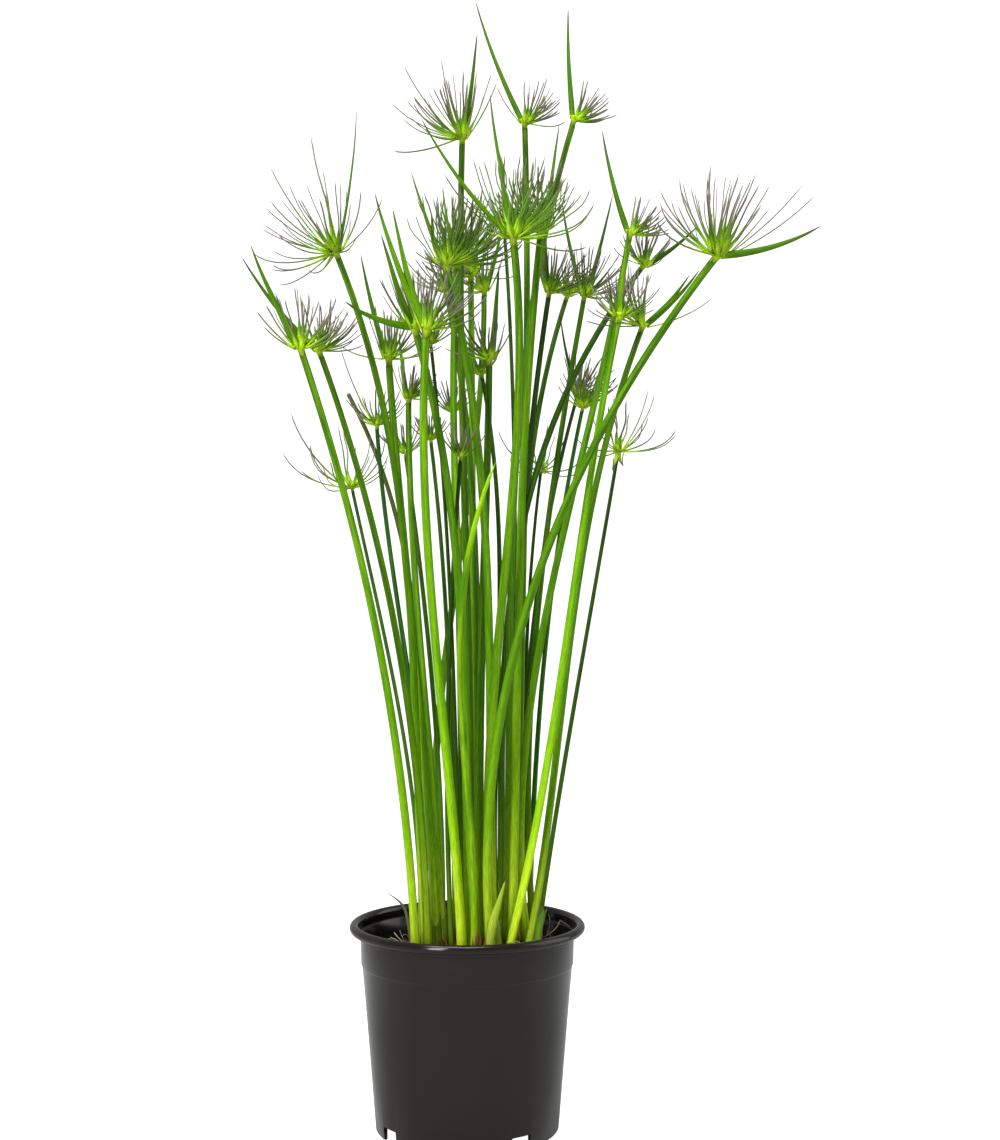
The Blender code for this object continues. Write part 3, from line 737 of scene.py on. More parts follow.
class Wardrobe:
    """The materials, each made once when first asked for."""

    mostly_green = 0.7

    def __init__(self) -> None:
        """Start with no material made."""
        self.made: dict[str, Material] = {}

    def take(self, finish: Finish) -> Material:
        """The material of a finish, made now if it is new."""
        if finish.name not in self.made:
            self.made[finish.name] = finish.material()
        return self.made[finish.name]

    def culm(self, tone: Tone) -> Material:
        """Stem surface, pale at the foot and darkened just under the head by painted shade, or lime
        at a young shoot's end.

        Args:
            tone: The stem's tone.

        Returns:
            The material.
        """
        shades = TONES[tone]
        # The top tenth of the stem darkens to a painted shadow under the umbel.
        painted_shade_under_head = tuple(channel * 0.55 for channel in shades.high)
        stops = ((0.0, shades.foot), (0.06, shades.foot), (0.2, shades.low), (0.42, shades.middle),
                 (0.9, shades.high), (1.0, painted_shade_under_head))
        if tone is Tone.FRESH:
            stops = ((0.0, shades.foot), (0.1, shades.low), (0.3, shades.middle),
                     (0.8, shades.middle), (0.87, shades.high), (1.0, shades.high))
        return self.take(PlantFinish(
            f"culm_{tone.value}", 0.42, 0.4, 0.12 * MM, stops=stops,
            stripe=shades.stripe, stripe_share=0.55, darker=0.55, fineness=5.5, breadth=1.1,
            variety=0.42,
        ))

    def leaf(self, tone: Tone) -> Material:
        """Leaf blades of a tone, with a brown end."""
        shades = TONES[tone]
        return self.take(PlantFinish(
            f"leaf_{tone.value}", 0.4, 0.4, 0.1 * MM,
            stops=((0.0, shades.low), (0.08, shades.blade), (0.5, shades.blade),
                   (0.74, shades.high), (0.9, shades.blade_tip), (1.0, RAY_TIP)),
            stripe=shades.stripe, stripe_share=0.25, darker=0.6, fineness=7.0, breadth=1.6,
        ))

    def ray(self, tone: Tone, green: float) -> Material:
        """Rays: lime at the hub, then green, then grey-brown.

        Args:
            tone: The stem's tone.
            green: The share of their length that is green.

        Returns:
            The material.
        """
        middle = TONES[tone].blade if green > self.mostly_green else RAY_MIDDLE
        brown = min(green + 0.14, 0.98)
        return self.take(PlantFinish(
            f"ray_{tone.value}_{round(green * 100)}", 0.5, 0.2, 0.05 * MM,
            stops=((0.0, HUB_LIME), (0.16, RAY_LIME), (0.27, RAY_GREEN), (0.37, middle),
                   (green, RAY_OLIVE), (brown, RAY_TIP), (1.0, RAY_END)),
            stripe=linear(160, 162, 120), stripe_share=0.2, darker=0.7, fineness=3.0, breadth=1.0,
            variety=0.4,
        ))


# ---- shapes


class Template:
    """A tube along Z from 0 to 1, made once and bent many times."""

    def __init__(self, sides: int, rings: int, corner: float = 0.0, pointed: bool = True) -> None:
        """Model the tube.

        Args:
            sides: Corners of its section.
            rings: Steps along it.
            corner: How far the section is from round towards a triangle.
            pointed: Whether the far end closes to a point.
        """
        bm = bmesh.new()
        bmesh.ops.create_cone(
            bm, cap_ends=True, segments=sides, radius1=1.0, radius2=1.0, depth=1.0
        )
        bmesh.ops.translate(bm, vec=(0.0, 0.0, 0.5), verts=bm.verts[:])
        upright = [e for e in bm.edges if abs(e.verts[0].co.z - e.verts[1].co.z) > 0.5]
        bmesh.ops.subdivide_edges(bm, edges=upright, cuts=rings - 1)
        if pointed:
            top = [v for v in bm.verts if v.co.z > 1 - 0.5 / rings]
            bmesh.ops.pointmerge(bm, verts=top, merge_co=(0.0, 0.0, 1.0))
        for vert in bm.verts:
            turn = math.atan2(vert.co.y, vert.co.x)
            vert.co.xy *= 1 + corner * math.cos(3 * turn)
        bmesh.ops.recalc_face_normals(bm, faces=bm.faces[:])
        self.rings = rings
        self.shares = [order / rings for order in range(rings + 1)]
        self.mesh = bpy.data.meshes.new("template")
        bm.to_mesh(self.mesh)
        bm.free()


def rings_along(points: list[Vector], across: Vector) -> list[Ring]:
    """Frames along a line.

    Args:
        points: The middle of each ring.
        across: The way that each ring's first side should face.

    Returns:
        The middle, side and other side of each ring.
    """
    last = len(points) - 1
    made = []
    for order, point in enumerate(points):
        direction = (points[min(order + 1, last)] - points[max(order - 1, 0)]).normalized()
        other = direction.cross(across).normalized()
        made.append((point, other.cross(direction).normalized(), other))
    return made


class Growth:
    """One plant piece in the making, with the attributes that its finishes read."""

    grain_length = 40 * MM
    grain_step_per_shade = 7
    grain_step_per_vertex = 0.013

    def __init__(self, shade: float) -> None:
        """Start an empty mesh.

        Args:
            shade: From -1, darker, to 1, lighter than its tone.
        """
        self.bm = bmesh.new()
        self.along = self.bm.verts.layers.float.new("along")
        self.shade = self.bm.verts.layers.float.new("shade")
        self.grain = self.bm.verts.layers.float_vector.new("grain")
        self.own = shade

    def sweep(self, template: Template, rings: list[Ring], widths: list[float],
              depths: list[float] | None = None, slot: int = 0, fold: float = 0.0,
              share: tuple[float, float] = (0.0, 1.0)) -> list[BMVert]:
        """Bend a template along rings.

        Args:
            template: The tube to bend.
            rings: Its frames, one more than the template has steps.
            widths: Half width at each ring.
            depths: Half depth at each ring, or None for a round section.
            slot: Material slot of its faces.
            fold: How steeply the two halves fold up like a keeled leaf.
            share: Values of the along attribute at its two ends.

        Returns:
            The new vertices.
        """
        first_vert, first_face = len(self.bm.verts), len(self.bm.faces)
        self.bm.from_mesh(template.mesh)
        self.bm.verts.ensure_lookup_table()
        self.bm.faces.ensure_lookup_table()
        depths = depths or widths
        lengths = [0.0]
        for (start, _, _), (end, _, _) in zip(rings, rings[1:]):
            lengths.append(lengths[-1] + (end - start).length)
        offset = self.own * self.grain_step_per_shade + first_vert * self.grain_step_per_vertex
        made = self.bm.verts[first_vert:]
        for vert in made:
            x, y, t = vert.co
            ring = round(t * template.rings)
            middle, side, other = rings[ring]
            keel = fold * widths[ring] * (abs(x) - 0.5)
            vert.co = middle + side * (x * widths[ring]) + other * (y * depths[ring] + keel)
            vert[self.along] = share[0] + (share[1] - share[0]) * t
            vert[self.shade] = self.own
            vert[self.grain] = (x, y + offset, lengths[ring] / self.grain_length)
        for face in self.bm.faces[first_face:]:
            face.material_index = slot
            face.smooth = True
        return made

    def piece(self, name: str, materials: list[Material]) -> Object:
        """Finish the mesh as an object.

        Args:
            name: The piece's name.
            materials: Its material slots, in order.

        Returns:
            The new object, at the origin.
        """
        return finished(self.bm, name, materials)


def finished(bm: BMesh, name: str,
             materials: list[Material]) -> Object:
    """Make an object from a bmesh, which is freed.

    Args:
        bm: The finished mesh.
        name: The object's name.
        materials: Its material slots, in order.

    Returns:
        The new object, at the origin.
    """
    mesh = bpy.data.meshes.new(name)
    bm.to_mesh(mesh)
    bm.free()
    for material in materials:
        mesh.materials.append(material)
    made = bpy.data.objects.new(name, mesh)
    bpy.context.scene.collection.objects.link(made)
    return made


def settle(piece: Object, slot: Slot, *nodes: str) -> Object:
    """Fix a piece to the frame.

    Args:
        piece: The finished piece.
        slot: The record's material slot of the piece; not used.
        nodes: The CAD nodes that it stands for.

    Returns:
        The piece.
    """
    if nodes:
        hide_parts(*nodes)
    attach(piece, BODY)
    LOG.info("%s: %d faces", piece.name, len(piece.data.polygons))
    return piece


class Shapes:
    """The templates that the plant pieces are bent from."""

    def __init__(self) -> None:
        """Model each template once."""
        self.culm = Template(12, 30, corner=0.14, pointed=False)
        self.shoot = Template(12, 30, corner=0.05)
        self.hub = Template(14, 8, pointed=False)
        self.blade = Template(8, 16)
        self.ray = Template(4, 9)
        self.sheath = Template(12, 6, pointed=False)
        self.scale = Template(6, 5)
        self.fibre = Template(4, 6)

    def clear(self) -> None:
        """Remove the templates' meshes."""
        for template in vars(self).values():
            bpy.data.meshes.remove(template.mesh)


@dataclass
class Clump:
    """Sizes that all the stems share, and the room that the stems take."""

    foot_lane: float = 7.5 * MM
    head_lane: float = 25 * MM
    stagger: float = 2.5 * MM
    lane_curve: float = 1.25
    head_taper: float = 0.72
    foot_swell: float = 0.1
    swollen_share: float = 0.06
    twist: float = 0.8
    buried: float = 3 * MM
    shoot_point: float = 0.8
    shoot_taper: float = 2.6
    hub_width: float = 0.95
    hub_depth: float = 1.1
    umbel_lift: float = 0.8
    near_tip: float = 0.6 * MM
    short_of_tip: float = 0.007
    blade_half_width: float = 2.3 * MM
    blade_curl: float = 0.16
    blade_waves: float = 0.006
    ray_half_width: float = 0.52 * MM
    strap_half_width: float = 1.6 * MM
    least_rays: int = 16
    rays_per_mm: float = 0.45
    droop_deg: float = 28
    spread_play_deg: float = 6
    turn_play: float = 0.2
    room_steps: int = 12
    room_share: float = 0.85
    starts: list[np.ndarray] = field(default_factory=list)
    ends: list[np.ndarray] = field(default_factory=list)
    radii: list[float] = field(default_factory=list)
    owners: list[str] = field(default_factory=list)

    def take_room(self, owner: str, points: list[Vector], radius: float) -> None:
        """Note the room that a stem takes.

        Args:
            owner: The stem's node.
            points: Points along it.
            radius: Half its width.
        """
        for start, end in zip(points, points[1:]):
            self.starts.append(np.array(start))
            self.ends.append(np.array(end))
            self.radii.append(radius)
            self.owners.append(owner)

    def clear(self, owner: str, points: list[Vector], radius: float) -> bool:
        """Whether points of a ray stay clear of every other stem.

        Args:
            owner: The stem that the ray belongs to.
            points: Points along the ray.
            radius: Half the ray's width.

        Returns:
            True if no other stem is in the way.
        """
        others = np.array([name != owner for name in self.owners])
        starts, ends = np.array(self.starts)[others], np.array(self.ends)[others]
        room = np.array(self.radii)[others] + radius
        spans = ends - starts
        sizes = np.einsum("ij,ij->i", spans, spans) + 1e-12
        for point in points:
            offset = np.array(point) - starts
            share = np.clip(np.einsum("ij,ij->i", offset, spans) / sizes, 0, 1)
            gaps = np.linalg.norm(offset - spans * share[:, None], axis=1)
            if (gaps < room).any():
                return False
        return True


class Culm:
    """The line, widths and head of one stem, the same as its CAD solid's."""

    def __init__(self, stem: Stem, order: int, clump: Clump) -> None:
        """Read a stem's row.

        Args:
            stem: The stem's readings.
            order: Its place in the list, which staggers its head.
            clump: The sizes that all stems share.
        """
        self.stem = stem
        self.clump = clump
        self.random = random.Random(1000 + order)
        self.foot_y = stem.lane * clump.foot_lane
        self.head_y = stem.lane * clump.head_lane + (order * 3 % 5 - 2) * clump.stagger
        self.head = seen(stem.lean.head * MM, stem.head * MM, self.head_y)
        self.foot_height = VIEW_POINT.z + (FOOT_Z - VIEW_POINT.z) / (1 - self.foot_y / VIEW_POINT.y)
        self.foot_radius = stem.width * MM / 2
        self.head_radius = self.foot_radius * clump.head_taper
        self.hub_radius = stem.width * MM * clump.hub_width
        self.hub_depth = stem.width * MM * clump.hub_depth
        self.shade = self.random.uniform(-1.0, 1.0)

    def claim_room(self) -> None:
        """Note the room that the stem takes in the clump."""
        steps = self.clump.room_steps
        points = [self.point(order / steps) for order in range(steps + 1)]
        self.clump.take_room(self.stem.node, points, self.foot_radius * self.clump.room_share)

    def point(self, t: float) -> Vector:
        """The middle of the stem.

        Args:
            t: The share of the height that the stem is seen to have.

        Returns:
            The point.
        """
        y = self.foot_y + (self.head_y - self.foot_y) * t**self.clump.lane_curve
        height = self.foot_height + (self.stem.head * MM - self.foot_height) * t
        return seen(cubic(self.stem.lean, t) * MM, height, y)

    def direction(self, t: float) -> Vector:
        """The way the stem grows at t."""
        step = 0.02
        return (self.point(min(t + step, 1)) - self.point(max(t - step, 0))).normalized()

    def radius(self, t: float) -> float:
        """Half the stem's width at t, a little swollen at its foot."""
        swell = self.clump.foot_swell * max(0.0, 1 - t / self.clump.swollen_share)
        return between(self.foot_radius, self.head_radius, t) * (1 + swell)

    def umbel_axis(self) -> Vector:
        """The middle line of the rays, between the stem's own line and straight up."""
        return (self.direction(1) + UP * self.clump.umbel_lift).normalized()

    def cad_tip(self, listed: Reading) -> Vector:
        """The corner of the stem's solid that is seen at a listed tip.

        Args:
            listed: The tip's (x, z) in millimetres.

        Returns:
            A place just short of the tip, or the listed point at the head's depth if the solid has
            none there.
        """
        wish = Vector(listed) * MM
        corners = [v.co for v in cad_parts[self.stem.node].data.vertices]
        best = min(corners, key=lambda corner: (flat_view(corner) - wish).length)
        if (flat_view(best) - wish).length < self.clump.near_tip:
            return best.lerp(self.head, self.clump.short_of_tip)
        return seen(wish.x, wish.y, self.head_y)


class StemPiece:
    """Builds one stem with its hub, leaf blades and rays."""

    hub_overlap = 0.6 * MM
    short_slots = {Tone.FRESH: Slot.SHOOT, Tone.DRY: Slot.DRY_STEM}

    def __init__(self, culm: Culm, shapes: Shapes) -> None:
        """Start an empty piece.

        Args:
            culm: The stem's line, widths and head.
            shapes: The templates.
        """
        self.culm = culm
        self.shapes = shapes
        self.growth = Growth(culm.shade)
        self.axis = culm.umbel_axis()
        self.side = (ACROSS - self.axis * ACROSS.dot(self.axis)).normalized()
        self.front = self.axis.cross(self.side)
        self.stand = RAY_STANDS[culm.stem.habit]

    def grow_culm(self) -> None:
        """The bare three-sided stem, which turns slowly on its way up."""
        culm, clump, shape = self.culm, self.culm.clump, self.shapes.culm
        shares = shape.shares
        points = [culm.point(t) for t in shares]
        points[0] = points[0] - UP * clump.buried
        if culm.stem.rays:
            points[-1] -= culm.direction(1) * culm.hub_depth
        turn = culm.random.uniform(0, math.tau)
        twist = culm.random.uniform(-clump.twist, clump.twist)
        rings = []
        for t, (middle, side, other) in zip(shares, rings_along(points, ACROSS)):
            angle = turn + twist * t
            rings.append((middle, side * math.cos(angle) + other * math.sin(angle),
                          other * math.cos(angle) - side * math.sin(angle)))
        widths = [culm.radius(t) for t in shares]
        if culm.stem.tone is Tone.FRESH:
            shape = self.shapes.shoot
            widths = [width * min(1.0, 1.0 - (t - clump.shoot_point) * clump.shoot_taper)
                      for t, width in zip(shares, widths)]
        self.growth.sweep(shape, rings, widths)

    def grow_hub(self) -> None:
        """The cup that opens out of the stem and carries the rays."""
        culm = self.culm
        foot = culm.head - culm.direction(1) * (culm.hub_depth + self.hub_overlap)
        points = [foot.lerp(culm.head, share) for share in (0.0, 0.3, 0.62, 0.86, 1.0)]
        points += [culm.head + self.axis * culm.hub_radius * share
                   for share in (0.1, 0.14, 0.16, 0.17)]
        widths = [culm.head_radius * share
                  for share in (1.03, 1.02, 1.15, 1.45, 1.85, 1.9, 1.3, 0.6, 0.05)]
        self.growth.sweep(self.shapes.hub, rings_along(points, ACROSS), widths, slot=1)

    def outward(self, tip: Vector) -> Vector:
        """The way from the umbel's axis towards a tip, square to the axis.

        Args:
            tip: The tip of a blade or ray.

        Returns:
            The way, of length 1.
        """
        span = tip - self.culm.head
        away = span - self.axis * span.dot(self.axis)
        return away.normalized() if away.length > 1e-6 else self.side

    def line(self, start: Vector, tip: Vector, shares: list[float], curl: float,
             waves: float) -> list[Vector]:
        """Points of a blade or ray that leaves its hub low and curls up to its tip.

        Args:
            start: Where it leaves the hub.
            tip: Its end.
            shares: How far along it each point is, from 0 to 1.
            curl: How far it bows outward, as a share of its length.
            waves: How far it sways to the sides, as a share of its length.

        Returns:
            The points from start to tip.
        """
        span = tip - start
        bow = (span.normalized() - self.axis) * span.length * curl
        sway = span.cross(self.axis)
        sway = sway.normalized() if sway.length > 1e-9 else self.side
        phase = self.culm.random.uniform(0, math.tau)
        points = []
        for t in shares:
            wave = math.sin(phase + 7 * t) * waves * span.length * t * (1 - t) * 4
            points.append(start + span * t + bow * 2 * t * (1 - t) + sway * wave)
        return points

    def grow_blade(self, listed: Reading) -> None:
        """A keeled leaf blade.

        Args:
            listed: The (x, z) of its tip in millimetres.
        """
        culm, template = self.culm, self.shapes.blade
        tip = culm.cad_tip(listed)
        away = self.outward(tip)
        start = culm.head + away * culm.head_radius * 0.9 - self.axis * culm.hub_radius * 0.2
        points = self.line(start, tip, template.shares, culm.clump.blade_curl,
                           culm.clump.blade_waves)
        towards_viewer = (VIEW_POINT - culm.head).normalized()
        across = (tip - start).cross(away + towards_viewer * 1.3)
        half = culm.clump.blade_half_width * (culm.stem.width / 5) ** 0.6 * self.stand.blade
        widths, depths = [], []
        for t in template.shares:
            swell = between(0.85, 1.0, t / 0.1)
            taper = (1 - t) ** 0.66
            widths.append(max(half * swell * taper, 0.2 * MM))
            depths.append(between(0.55, 0.2, t) * MM)
        rings = rings_along(points, across)
        self.growth.sweep(template, rings, widths, depths, slot=2, fold=0.5)

    def grow_ray(self, tip: Vector, curl: float, start_share: float, check: bool = True) -> bool:
        """One ray to a tip, if it is clear of the other stems.

        Args:
            tip: The ray's end.
            curl: How far it bows outward.
            start_share: How far out on the cup it starts, from 0 to 1.
            check: Whether it may be left out where a stem is in its way.

        Returns:
            True if the ray was grown.
        """
        culm, template = self.culm, self.shapes.ray
        away = self.outward(tip)
        self.growth.own = culm.random.uniform(-1, 1)
        rise = culm.hub_radius * (0.1 - 0.55 * start_share)
        start = culm.head + away * culm.head_radius * 1.7 * start_share + self.axis * rise
        points = self.line(start, tip, template.shares, curl, self.stand.waves)
        if check and not culm.clump.clear(culm.stem.node, points[2:], culm.clump.ray_half_width):
            return False
        across = away.cross(tip - start)
        across = across if across.length > 1e-9 else self.side
        half = culm.clump.ray_half_width * culm.random.uniform(0.8, 1.2)
        widths, depths = [], []
        for t in template.shares:
            strap = max(0.0, 1 - t / self.stand.strap) ** 0.7
            body = half * between(1.05, 0.72, t)
            widths.append(body + (culm.clump.strap_half_width - body) * strap)
            depths.append(body * 0.9)
        self.growth.sweep(template, rings_along(points, across), widths, depths, slot=3)
        return True

    def grow_rays(self, inside: tuple[Vector, Vector]) -> int:
        """All the rays: the listed ones, then an even spread of fine ones.

        Args:
            inside: Lowest and highest corner of the box that the tips stay in.

        Returns:
            How many rays were grown.
        """
        culm, clump, stand = self.culm, self.culm.clump, self.stand
        low, high = inside
        grown = 0
        for listed in culm.stem.tips:
            grown += self.grow_ray(culm.cad_tip(listed), stand.curl, 0.9, check=False)
        middle = self.axis.copy()
        for listed in culm.stem.blades[:1]:
            middle -= self.outward(culm.cad_tip(listed)) * stand.lean
        middle.normalize()
        wanted = round((clump.least_rays + culm.stem.rays * clump.rays_per_mm) * stand.crowd)
        golden = math.pi * (3 - math.sqrt(5))
        phase = culm.random.uniform(0, math.tau)
        for order in range(wanted):
            share = math.sqrt((order + 0.5) / wanted)
            droop = clump.droop_deg if culm.random.random() < stand.drooping else 0
            play = culm.random.uniform(-clump.spread_play_deg, clump.spread_play_deg)
            rise = math.radians(stand.spread_deg * share + play + droop)
            turn = phase + golden * order + culm.random.uniform(-clump.turn_play, clump.turn_play)
            away = self.side * math.cos(turn) + self.front * math.sin(turn)
            away = (away - middle * away.dot(middle)).normalized()
            way = middle * math.cos(rise) + away * math.sin(rise)
            length = culm.stem.rays * MM * culm.random.uniform(0.7, 1.0) * stand.reach
            tip = culm.head + way * length
            kept = Vector(min(max(tip[i], low[i] + MM), high[i] - MM) for i in range(3))
            curl = stand.curl * culm.random.uniform(0.5, 1.7)
            grown += self.grow_ray(kept, curl, min(share, 0.95))
        return grown

    def build(self, wardrobe: Wardrobe, inside: tuple[Vector, Vector]) -> Object:
        """Grow the whole stem.

        Args:
            wardrobe: The materials.
            inside: Lowest and highest corner of the box that the rays stay in.

        Returns:
            The finished piece.
        """
        stem, tone = self.culm.stem, self.culm.stem.tone
        used = [wardrobe.culm(tone)]
        self.grow_culm()
        if stem.rays:
            used += [wardrobe.take(HUB), wardrobe.leaf(tone), wardrobe.ray(tone, self.stand.green)]
            self.grow_hub()
            for listed in stem.blades:
                self.grow_blade(listed)
            LOG.info("%s: %d rays", stem.node, self.grow_rays(inside))
        piece = self.growth.piece(f"papyrus_{stem.node}", used)
        return settle(piece, self.short_slots.get(tone, Slot.STEM), stem.node)


@dataclass(frozen=True)
class Crown:
    """Sizes of the low woody mound that the stems grow from."""

    x: float = 6 * MM
    half_width: float = 50 * MM
    half_depth: float = 39 * MM
    half_height: float = 6.4 * MM
    middle_z: float = 99 * MM


@dataclass(frozen=True)
class OpenLeaf:
    """A thin keeled leaf that stands open on the crown.

    Its points are (x, z) in millimetres, as seen from the view point at its depth, and it starts at
    the x of its foot. Its half widths, in millimetres, are those of its foot, its bend and its tip,
    and the bend is a share of its length.
    """

    depth: float
    foot_x: float
    points: tuple[Reading, ...]
    half_widths: tuple[float, float, float]
    bend: float
    thickness: float
    fold: float
    share: tuple[float, float] = (0.0, 1.0)
    buried: float = 1.5 * MM

    def grow(self, growth: Growth, template: Template) -> None:
        """Add the leaf to a piece.

        Args:
            growth: The piece.
            template: The tube that the leaf is bent from.
        """
        low = FOOT_Z - self.buried
        corners = [seen(self.foot_x * MM, low, self.depth)]
        corners[0].z = low
        corners += [seen(x * MM, z * MM, self.depth) for x, z in self.points]
        foot, bend, tip = self.half_widths
        widths = [between(foot, bend, t / self.bend) * MM if t < self.bend
                  else between(bend, tip, (t - self.bend) / (1 - self.bend)) * MM
                  for t in template.shares]
        rings = rings_along(smooth_line(corners, template.shares), ACROSS)
        growth.sweep(template, rings, widths, [self.thickness] * len(widths), fold=self.fold,
                     share=self.share)


# The listed roots, each the (x, z) that it is seen at and its depth, in millimetres
ROOTS = (
    ((-37, 108, -44), (-41, 112, -45), (-44, 115.5, -45)),
    ((-37, 108, -44), (-39, 113, -45), (-40.5, 117, -45)),
    ((-37, 108, -44), (-43, 111, -45), (-46, 112.5, -45)),
    ((46, 111, 8), (49, 120, 10), (48, 126, 12)),
    ((45, 112, 6), (52, 117, 8), (55, 122.5, 9)),
    ((55, 122.5, 9), (59, 120, 12), (62, 118, 14)),
    ((25, 108.5, -38), (29, 110, -40), (33, 108, -42)),
)


@dataclass
class FootDetails:
    """Sheaths round the feet of the stems, dead scales, root fibres and the short pieces."""

    shapes: Shapes
    wardrobe: Wardrobe
    crown: Crown
    sheath_height: float = 20 * MM
    sheathed: float = 0.4
    scales: int = 64
    scale_foot: float = 104.5 * MM
    fibres: int = 46
    fibre_foot: float = 103.6 * MM
    fibre_reach: float = 56 * MM
    front_sheath: OpenLeaf = OpenLeaf(-36 * MM, 12, ((14.5, 118), (19, 134), (22.5, 146)),
                                      (2.0, 2.9, 0.1), 0.375, 0.25 * MM, 0.7, (0.1, 1.0))
    left_leaf: OpenLeaf = OpenLeaf(-10 * MM, -33, ((-36, 125), (-40, 133), (-48, 139)),
                                   (1.1, 0.9, 0.1), 0.5, 0.3 * MM, 0.6)
    stub: tuple[Reading, ...] = ((41, 107), (43, 119), (46, 131))
    stub_depth: float = -22 * MM
    strands: tuple[tuple[float, float, float], ...] = (
        (2.2, 0.8, 111.5), (3.4, 3.0, 113.5), (4.6, 5.0, 115), (5.4, 6.0, 120), (6.6, 8.2, 114),
        (8.0, 10.6, 112))

    def build(self, culms: list[Culm]) -> None:
        """Make every piece, in order.

        Args:
            culms: The stems.
        """
        self.sheaths(culms)
        self.dead_scales()
        self.root_fibres()
        self.dry_leaf()
        self.cut_stub()
        self.brown_sheath()

    def sheaths(self, culms: list[Culm]) -> None:
        """A thin pointed sheath hugging the foot of some stems, and the open one in front.

        Args:
            culms: The stems.
        """
        template = self.shapes.sheath
        steps = template.rings
        chance = random.Random(5)
        growth = Growth(0.0)
        for culm in culms:
            if chance.random() > self.sheathed:
                continue
            growth.own = chance.uniform(-1, 1)
            height = self.sheath_height * chance.uniform(0.5, 1.5)
            lean = chance.uniform(0, math.tau)
            span = culm.head.z - FOOT_Z
            points = [culm.point(height * t / span) for t in template.shares]
            points[0] = points[0] - UP * 2 * MM
            rings = rings_along(points, ACROSS)
            widths = [culm.radius(0) * 1.02 + between(0.25, 0.1, order / 5) * MM
                      for order in range(steps)]
            widths[-1] = widths[-2]
            widths.append(culm.radius(0) * 0.8)
            for vert in growth.sweep(template, rings, widths):
                share = vert[growth.along]
                offset = vert.co - rings[round(share * steps)][0]
                turn = math.atan2(offset.y, offset.x) - lean
                drop = height * 0.42 * share * (1 - math.cos(turn)) / 2
                vert.co -= culm.direction(0) * drop
        growth.own = 0.6
        self.front_sheath.grow(growth, self.shapes.blade)
        settle(growth.piece("basal_sheaths", [self.wardrobe.take(SHEATH)]), Slot.SHEATH)

    def dead_scales(self) -> None:
        """Short dead scale leaves between the feet of the stems."""
        crown = self.crown
        chance = random.Random(11)
        growth = Growth(0.0)
        for _ in range(self.scales):
            growth.own = chance.uniform(-1, 1)
            turn, out = chance.uniform(0, math.tau), math.sqrt(chance.uniform(0.02, 0.95)) * 0.9
            away = heading(turn)
            foot = Vector((crown.x + crown.half_width * out * away.x,
                           crown.half_depth * out * away.y, self.scale_foot))
            length = chance.uniform(5, 13) * MM
            tip = foot + (UP + away * chance.uniform(0.1, 0.9)).normalized() * length
            points = bowed(foot, tip, away * length * 0.08, self.shapes.scale.shares)
            half = chance.uniform(0.8, 1.9) * MM
            widths = [half * share for share in (0.9, 1.0, 0.85, 0.6, 0.35, 0.1)]
            growth.sweep(self.shapes.scale, rings_along(points, away.cross(UP)), widths,
                         [0.16 * MM] * len(widths), fold=0.4)
        settle(growth.piece("dead_scales", [self.wardrobe.take(DEAD_SCALE)]), Slot.SHEATH)

    def root_fibres(self) -> None:
        """Pale root fibres on the soil and against the pot's wall."""
        template = self.shapes.fibre
        chance = random.Random(23)
        growth = Growth(0.0)
        lines = [[seen(x * MM, z * MM, y * MM) for x, z, y in root] for root in ROOTS]
        for _ in range(self.fibres):
            turn, out = chance.uniform(0, math.tau), chance.uniform(40, 56) * MM
            start = heading(turn) * out + UP * self.fibre_foot
            way = turn + chance.uniform(0.6, 2.4) * chance.choice((-1, 1))
            length = chance.uniform(6, 18) * MM
            end = start + heading(way) * length
            flat = Vector((end.x, end.y, 0.0))
            end = (flat * min(1.0, self.fibre_reach / flat.length)
                   + UP * chance.uniform(103.4, 105.5) * MM)
            rise = UP * chance.uniform(0.4, 2.6) * MM
            lines.append([start, (start + end) / 2 + rise, end])
        upright = Vector((0.3, 0.2, 1.0)).normalized()
        for first, middle, last in lines:
            growth.own = chance.uniform(-1, 1)
            pull = middle * 2 - (first + last) / 2
            points = [first * (1 - t) ** 2 + pull * 2 * t * (1 - t) + last * t**2
                      for t in template.shares]
            half = chance.uniform(0.18, 0.42) * MM
            widths = [half * between(1.0, 0.5, t) for t in template.shares]
            growth.sweep(template, rings_along(points, upright), widths)
        settle(growth.piece("root_fibres", [self.wardrobe.take(ROOT_FIBRE)]), Slot.RHIZOME)

    def dry_leaf(self) -> None:
        """The thin dry leaf that leans out to the left."""
        growth = Growth(0.2)
        self.left_leaf.grow(growth, self.shapes.blade)
        piece = growth.piece("papyrus_dry_leaf", [self.wardrobe.take(DRY_LEAF)])
        settle(piece, Slot.DRY_STEM, "dry_leaf")

    def cut_stub(self) -> None:
        """The stump of a cut stem, with a ragged dark end."""
        template = self.shapes.sheath
        steps, bend = template.rings, template.rings // 2
        low, middle, top = [seen(x * MM, z * MM, self.stub_depth) for x, z in self.stub]
        low.z = FOOT_Z - 2 * MM
        points = [low.lerp(middle, order / bend) for order in range(bend)]
        points += [middle.lerp(top, order / (steps - bend)) for order in range(steps - bend + 1)]
        growth = Growth(-0.2)
        widths = [between(2.3, 1.9, t) * MM for t in template.shares]
        chance = random.Random(3)
        for vert in growth.sweep(template, rings_along(points, ACROSS), widths):
            if vert[growth.along] > 0.9 and (vert.co - points[-1]).length > 0.5 * MM:
                vert.co += UP * chance.uniform(-3.2, 1.2) * MM
        piece = growth.piece("papyrus_cut_stub", [self.wardrobe.take(CUT_STUB)])
        settle(piece, Slot.STEM, "cut_stub")

